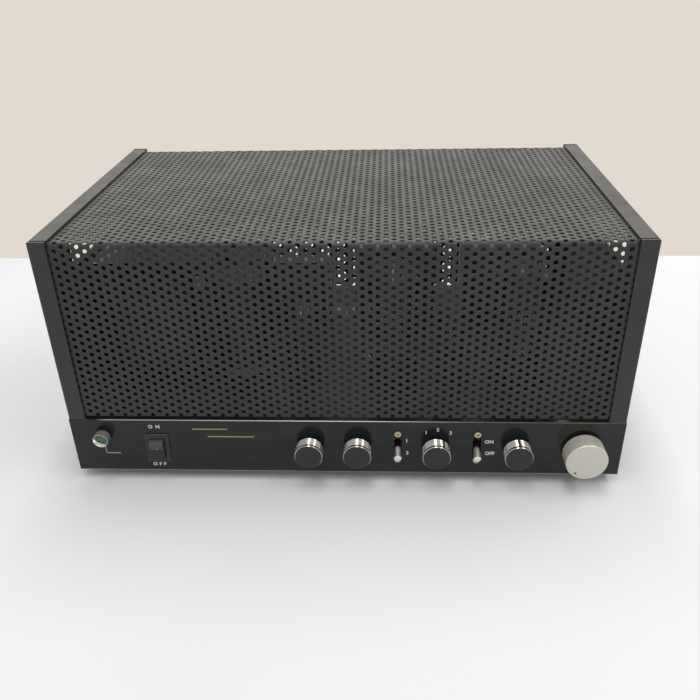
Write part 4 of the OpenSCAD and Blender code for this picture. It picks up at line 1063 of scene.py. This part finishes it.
class AMP_OT_rear_fittings(bpy.types.Operator):
    """Flutes the speaker posts and the fuse cap, and puts cross-slotted heads on the rear screws"""

    bl_idname = "amp.rear_fittings"
    bl_label = "Rear fittings"
    grip_wall, flute_depth, flute_steps, skin = 0.6 * MM, 0.4 * MM, 4, 0.1 * MM
    post_inset, post_collar, post_end, post_flutes = 0.5 * MM, 3.2 * MM, 2.2 * MM, 20
    fuse_inset, fuse_collar, fuse_end, fuse_flutes = 1.6 * MM, 2.6 * MM, 2 * MM, 16
    head_radius, head_height, head_sink = 2.75 * MM, 1.1 * MM, 0.1 * MM
    head_rise = 1 * MM
    slot_length, slot_depth, slot_width = 1.2, 0.8, 0.24

    def fluted(self, name, centre, back, front, outer, flutes):
        """A ring along Y with flutes down its outside."""
        inner = outer - self.grip_wall
        count = self.flute_steps * flutes
        ring = lathe(name, [(inner, back), (outer, back), (outer, front), (inner, front)], centre, count)
        step = math.tau / count

        def in_flute(vertex):
            across, up = vertex.co.x - centre.x, vertex.co.z - centre.z
            place = round(math.atan2(up, across) / step) % self.flute_steps
            return math.hypot(across, up) > outer - self.skin and place < self.flute_steps / 2

        edit(ring)
        choose(ring, in_flute)
        shrink = 1 - self.flute_depth / outer
        bpy.ops.transform.resize(value=(shrink, 1, shrink), center_override=(centre.x, back, centre.z))
        start()
        return ring

    def head(self, name, place, radius, thickness):
        """A screw's head with a cross slot in its outer face."""
        piece = disc(name, place, radius, thickness, 0)
        for turn in (0, 90):
            start()
            bpy.ops.mesh.primitive_cube_add(
                size=1, location=place + Vector((0, thickness / 2, 0)), rotation=(0, math.radians(turn), 0),
                scale=(self.slot_length * radius, self.slot_depth * thickness, self.slot_width * radius))
            slot = bpy.context.object
            add_modifier(piece, "BOOLEAN", object=slot, operation="DIFFERENCE")
            only(slot)
            bpy.ops.object.delete()
        return piece

    def execute(self, context):
        low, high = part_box("speaker_posts_red")
        radius = (high.z - low.z) / 2 - self.post_inset
        for place, post in enumerate(mounts("speaker_post_")):
            colour = "post_red" if place % 2 == 0 else "post_black"
            centre = Vector((post["pos_m"][0], 0, (low.z + high.z) / 2))
            grip = self.fluted(f"post_grip_{place + 1}", centre, REAR_HIGH.y + self.post_collar,
                               high.y - self.post_end, radius, self.post_flutes)
            dress(grip, colour, "chassis", smooth=20)
        low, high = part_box("fuse_holder")
        centre = (low + high) / 2
        grip = self.fluted("fuse_grip", centre, REAR_HIGH.y + self.fuse_collar, high.y - self.fuse_end,
                           (high.x - low.x) / 2 - self.fuse_inset, self.fuse_flutes)
        dress(grip, "inlet_black", "chassis", smooth=20)
        heads = [v.co for v in NODES["case_screws"].data.vertices if v.co.y > REAR_HIGH.y + self.head_rise]
        middle = (REAR_LOW.z + REAR_HIGH.z) / 2
        for number, (right, upper) in enumerate([(0, 0), (0, 1), (1, 0), (1, 1)]):
            spots = [p for p in heads if (p.x > 0) == bool(right) and (p.z > middle) == bool(upper)]
            centre = sum(spots, Vector()) / len(spots)
            place = Vector((centre.x, max(p.y for p in spots) - self.head_sink, centre.z))
            head = self.head(f"rear_screw_head_{number + 1}", place, self.head_radius, self.head_height)
            dress(head, "screw_steel", "chassis", smooth=30)
        return {"FINISHED"}


class AMP_OT_stage(bpy.types.Operator):
    """Sets the floor, background, lamps and camera"""

    bl_idname = "amp.stage"
    bl_label = "Stage"
    floor_width, floor_depth, floor_end = 6, 3.2, 0.374
    lamps = (
        ("overhead", (-0.05, -0.2, 1.35), (-0.05, -0.2, 0), (0.28, 2.2), 0.84),
        ("overhead_right", (0.95, -0.2, 1.35), (0.1, -0.2, 0), (0.28, 2.2), 0.6),
        ("back_light", (0, 1.6, 1.0), (0, 0, 0.1), (2.4, 0.8), 0.45),
    )
    camera_axes = ((0.99882, 0.043416, -0.021765), (-0.002307, 0.490073, 0.871678),
                   (0.048512, -0.8706, 0.489595))
    camera_place = (26.28 * MM, -373.35 * MM, 298.67 * MM)

    def floor(self, stage):
        start()
        bpy.ops.mesh.primitive_plane_add(size=1)
        floor = added("floor")
        floor.scale = (self.floor_width, self.floor_depth, 1)
        floor.location = (0, PANEL_LOW.y + self.floor_end - self.floor_depth / 2, 0)
        apply_all(floor)
        finish = Finish("floor_cloth", Roughness=0.9, Specular_IOR_Level=0.1)
        cloud = finish.noise(3.0, 3.0)
        finish.feed("Base Color", finish.tint(cloud, stage.floor, 0.97, 1.02))
        floor.data.materials.append(finish.material)

    def sky(self, stage):
        """Even light for the object; the background's colour for what looks at it."""
        world = bpy.context.scene.world or bpy.data.worlds.new("room")
        bpy.context.scene.world = world
        world.use_nodes = True
        tree = world.node_tree
        tree.nodes.clear()
        path = tree.nodes.new("ShaderNodeLightPath")
        seen = path.outputs["Is Camera Ray"]
        for ray in ("Is Transmission Ray", "Is Glossy Ray"):
            either = tree.nodes.new("ShaderNodeMath")
            either.operation = "MAXIMUM"
            tree.links.new(seen, either.inputs[0])
            tree.links.new(path.outputs[ray], either.inputs[1])
            seen = either.outputs[0]
        light = tree.nodes.new("ShaderNodeBackground")
        light.inputs["Color"].default_value = (1, 1, 1, 1)
        light.inputs["Strength"].default_value = stage.sky
        wall = tree.nodes.new("ShaderNodeBackground")
        wall.inputs["Color"].default_value = stage.wall
        blend = tree.nodes.new("ShaderNodeMixShader")
        out = tree.nodes.new("ShaderNodeOutputWorld")
        for place, socket in enumerate((seen, light.outputs[0], wall.outputs[0])):
            tree.links.new(socket, blend.inputs[place])
        tree.links.new(blend.outputs[0], out.inputs["Surface"])

    def put(self, name, data, place, axes):
        """Adds a lamp or a camera at a place, turned to three axes."""
        item = bpy.data.objects.new(name, data)
        bpy.context.scene.collection.objects.link(item)
        item.matrix_world = Matrix.Translation(place) @ Matrix(axes).transposed().to_4x4()
        return item

    def lamp(self, name, place, aim, size, power):
        """A strip lamp, its width along X, that only lights."""
        data = bpy.data.lights.new(name, "AREA")
        data.shape = "RECTANGLE"
        data.size, data.size_y = size
        data.energy = power
        back = (Vector(place) - Vector(aim)).normalized()
        along = (Vector((1, 0, 0)) - back * back.x).normalized()
        self.put(name, data, place, (along, back.cross(along), back)).visible_camera = False

    def camera(self, stage):
        """The photograph's camera, placed from the panel's lower front edge."""
        data = bpy.data.cameras.new("camera")
        data.sensor_width = 36
        data.lens = stage.lens
        data.clip_start = 0.01
        x, y, z = self.camera_place
        place = (x, PANEL_LOW.y + y, PANEL_LOW.z + z)
        bpy.context.scene.camera = self.put("camera", data, place, self.camera_axes)

    def execute(self, context):
        stage = context.scene.amp_stage
        self.floor(stage)
        self.sky(stage)
        for name, place, aim, size, share in self.lamps:
            self.lamp(name, place, aim, size, stage.lamp * share)
        self.camera(stage)
        context.scene.view_settings.view_transform = "Standard"
        return {"FINISHED"}


class AMP_PT_panel(bpy.types.Panel):
    """Lists the amplifier's steps and settings"""

    bl_label = "Amplifier"
    bl_idname = "AMP_PT_panel"
    bl_space_type = "VIEW_3D"
    bl_region_type = "UI"
    bl_category = "Amplifier"

    def draw(self, context):
        for step in STEPS:
            self.layout.operator(step.bl_idname)
        for name in GROUPS:
            group = getattr(context.scene, name)
            box = self.layout.box()
            for setting in group.__annotations__:
                box.prop(group, setting)


GROUPS = {"amp_sheet": SheetSettings, "amp_knob": KnobSettings, "amp_mark": MarkSettings,
          "amp_finish": FinishSettings, "amp_stage": StageSettings}
STEPS = (AMP_OT_finishes, AMP_OT_perforated_sheet, AMP_OT_knob_sleeves, AMP_OT_switch_rim,
         AMP_OT_control_dots, AMP_OT_panel_marks, AMP_OT_rear_marks, AMP_OT_rear_fittings, AMP_OT_stage)


def register():
    for group in GROUPS.values():
        bpy.utils.register_class(group)
    for step in STEPS + (AMP_PT_panel,):
        bpy.utils.register_class(step)
    for name, group in GROUPS.items():
        setattr(bpy.types.Scene, name, bpy.props.PointerProperty(type=group))


def unregister():
    for name in GROUPS:
        delattr(bpy.types.Scene, name)
    for step in reversed(STEPS + (AMP_PT_panel,)):
        bpy.utils.unregister_class(step)
    for group in reversed(list(GROUPS.values())):
        bpy.utils.unregister_class(group)


def main():
    register()
    bpy.ops.amp.finishes()
    bpy.ops.amp.perforated_sheet()
    bpy.ops.amp.knob_sleeves()
    bpy.ops.amp.switch_rim()
    bpy.ops.amp.control_dots()
    bpy.ops.amp.panel_marks()
    bpy.ops.amp.rear_marks()
    bpy.ops.amp.rear_fittings()
    bpy.ops.amp.stage()
    start()


if __name__ == "__main__":
    main()
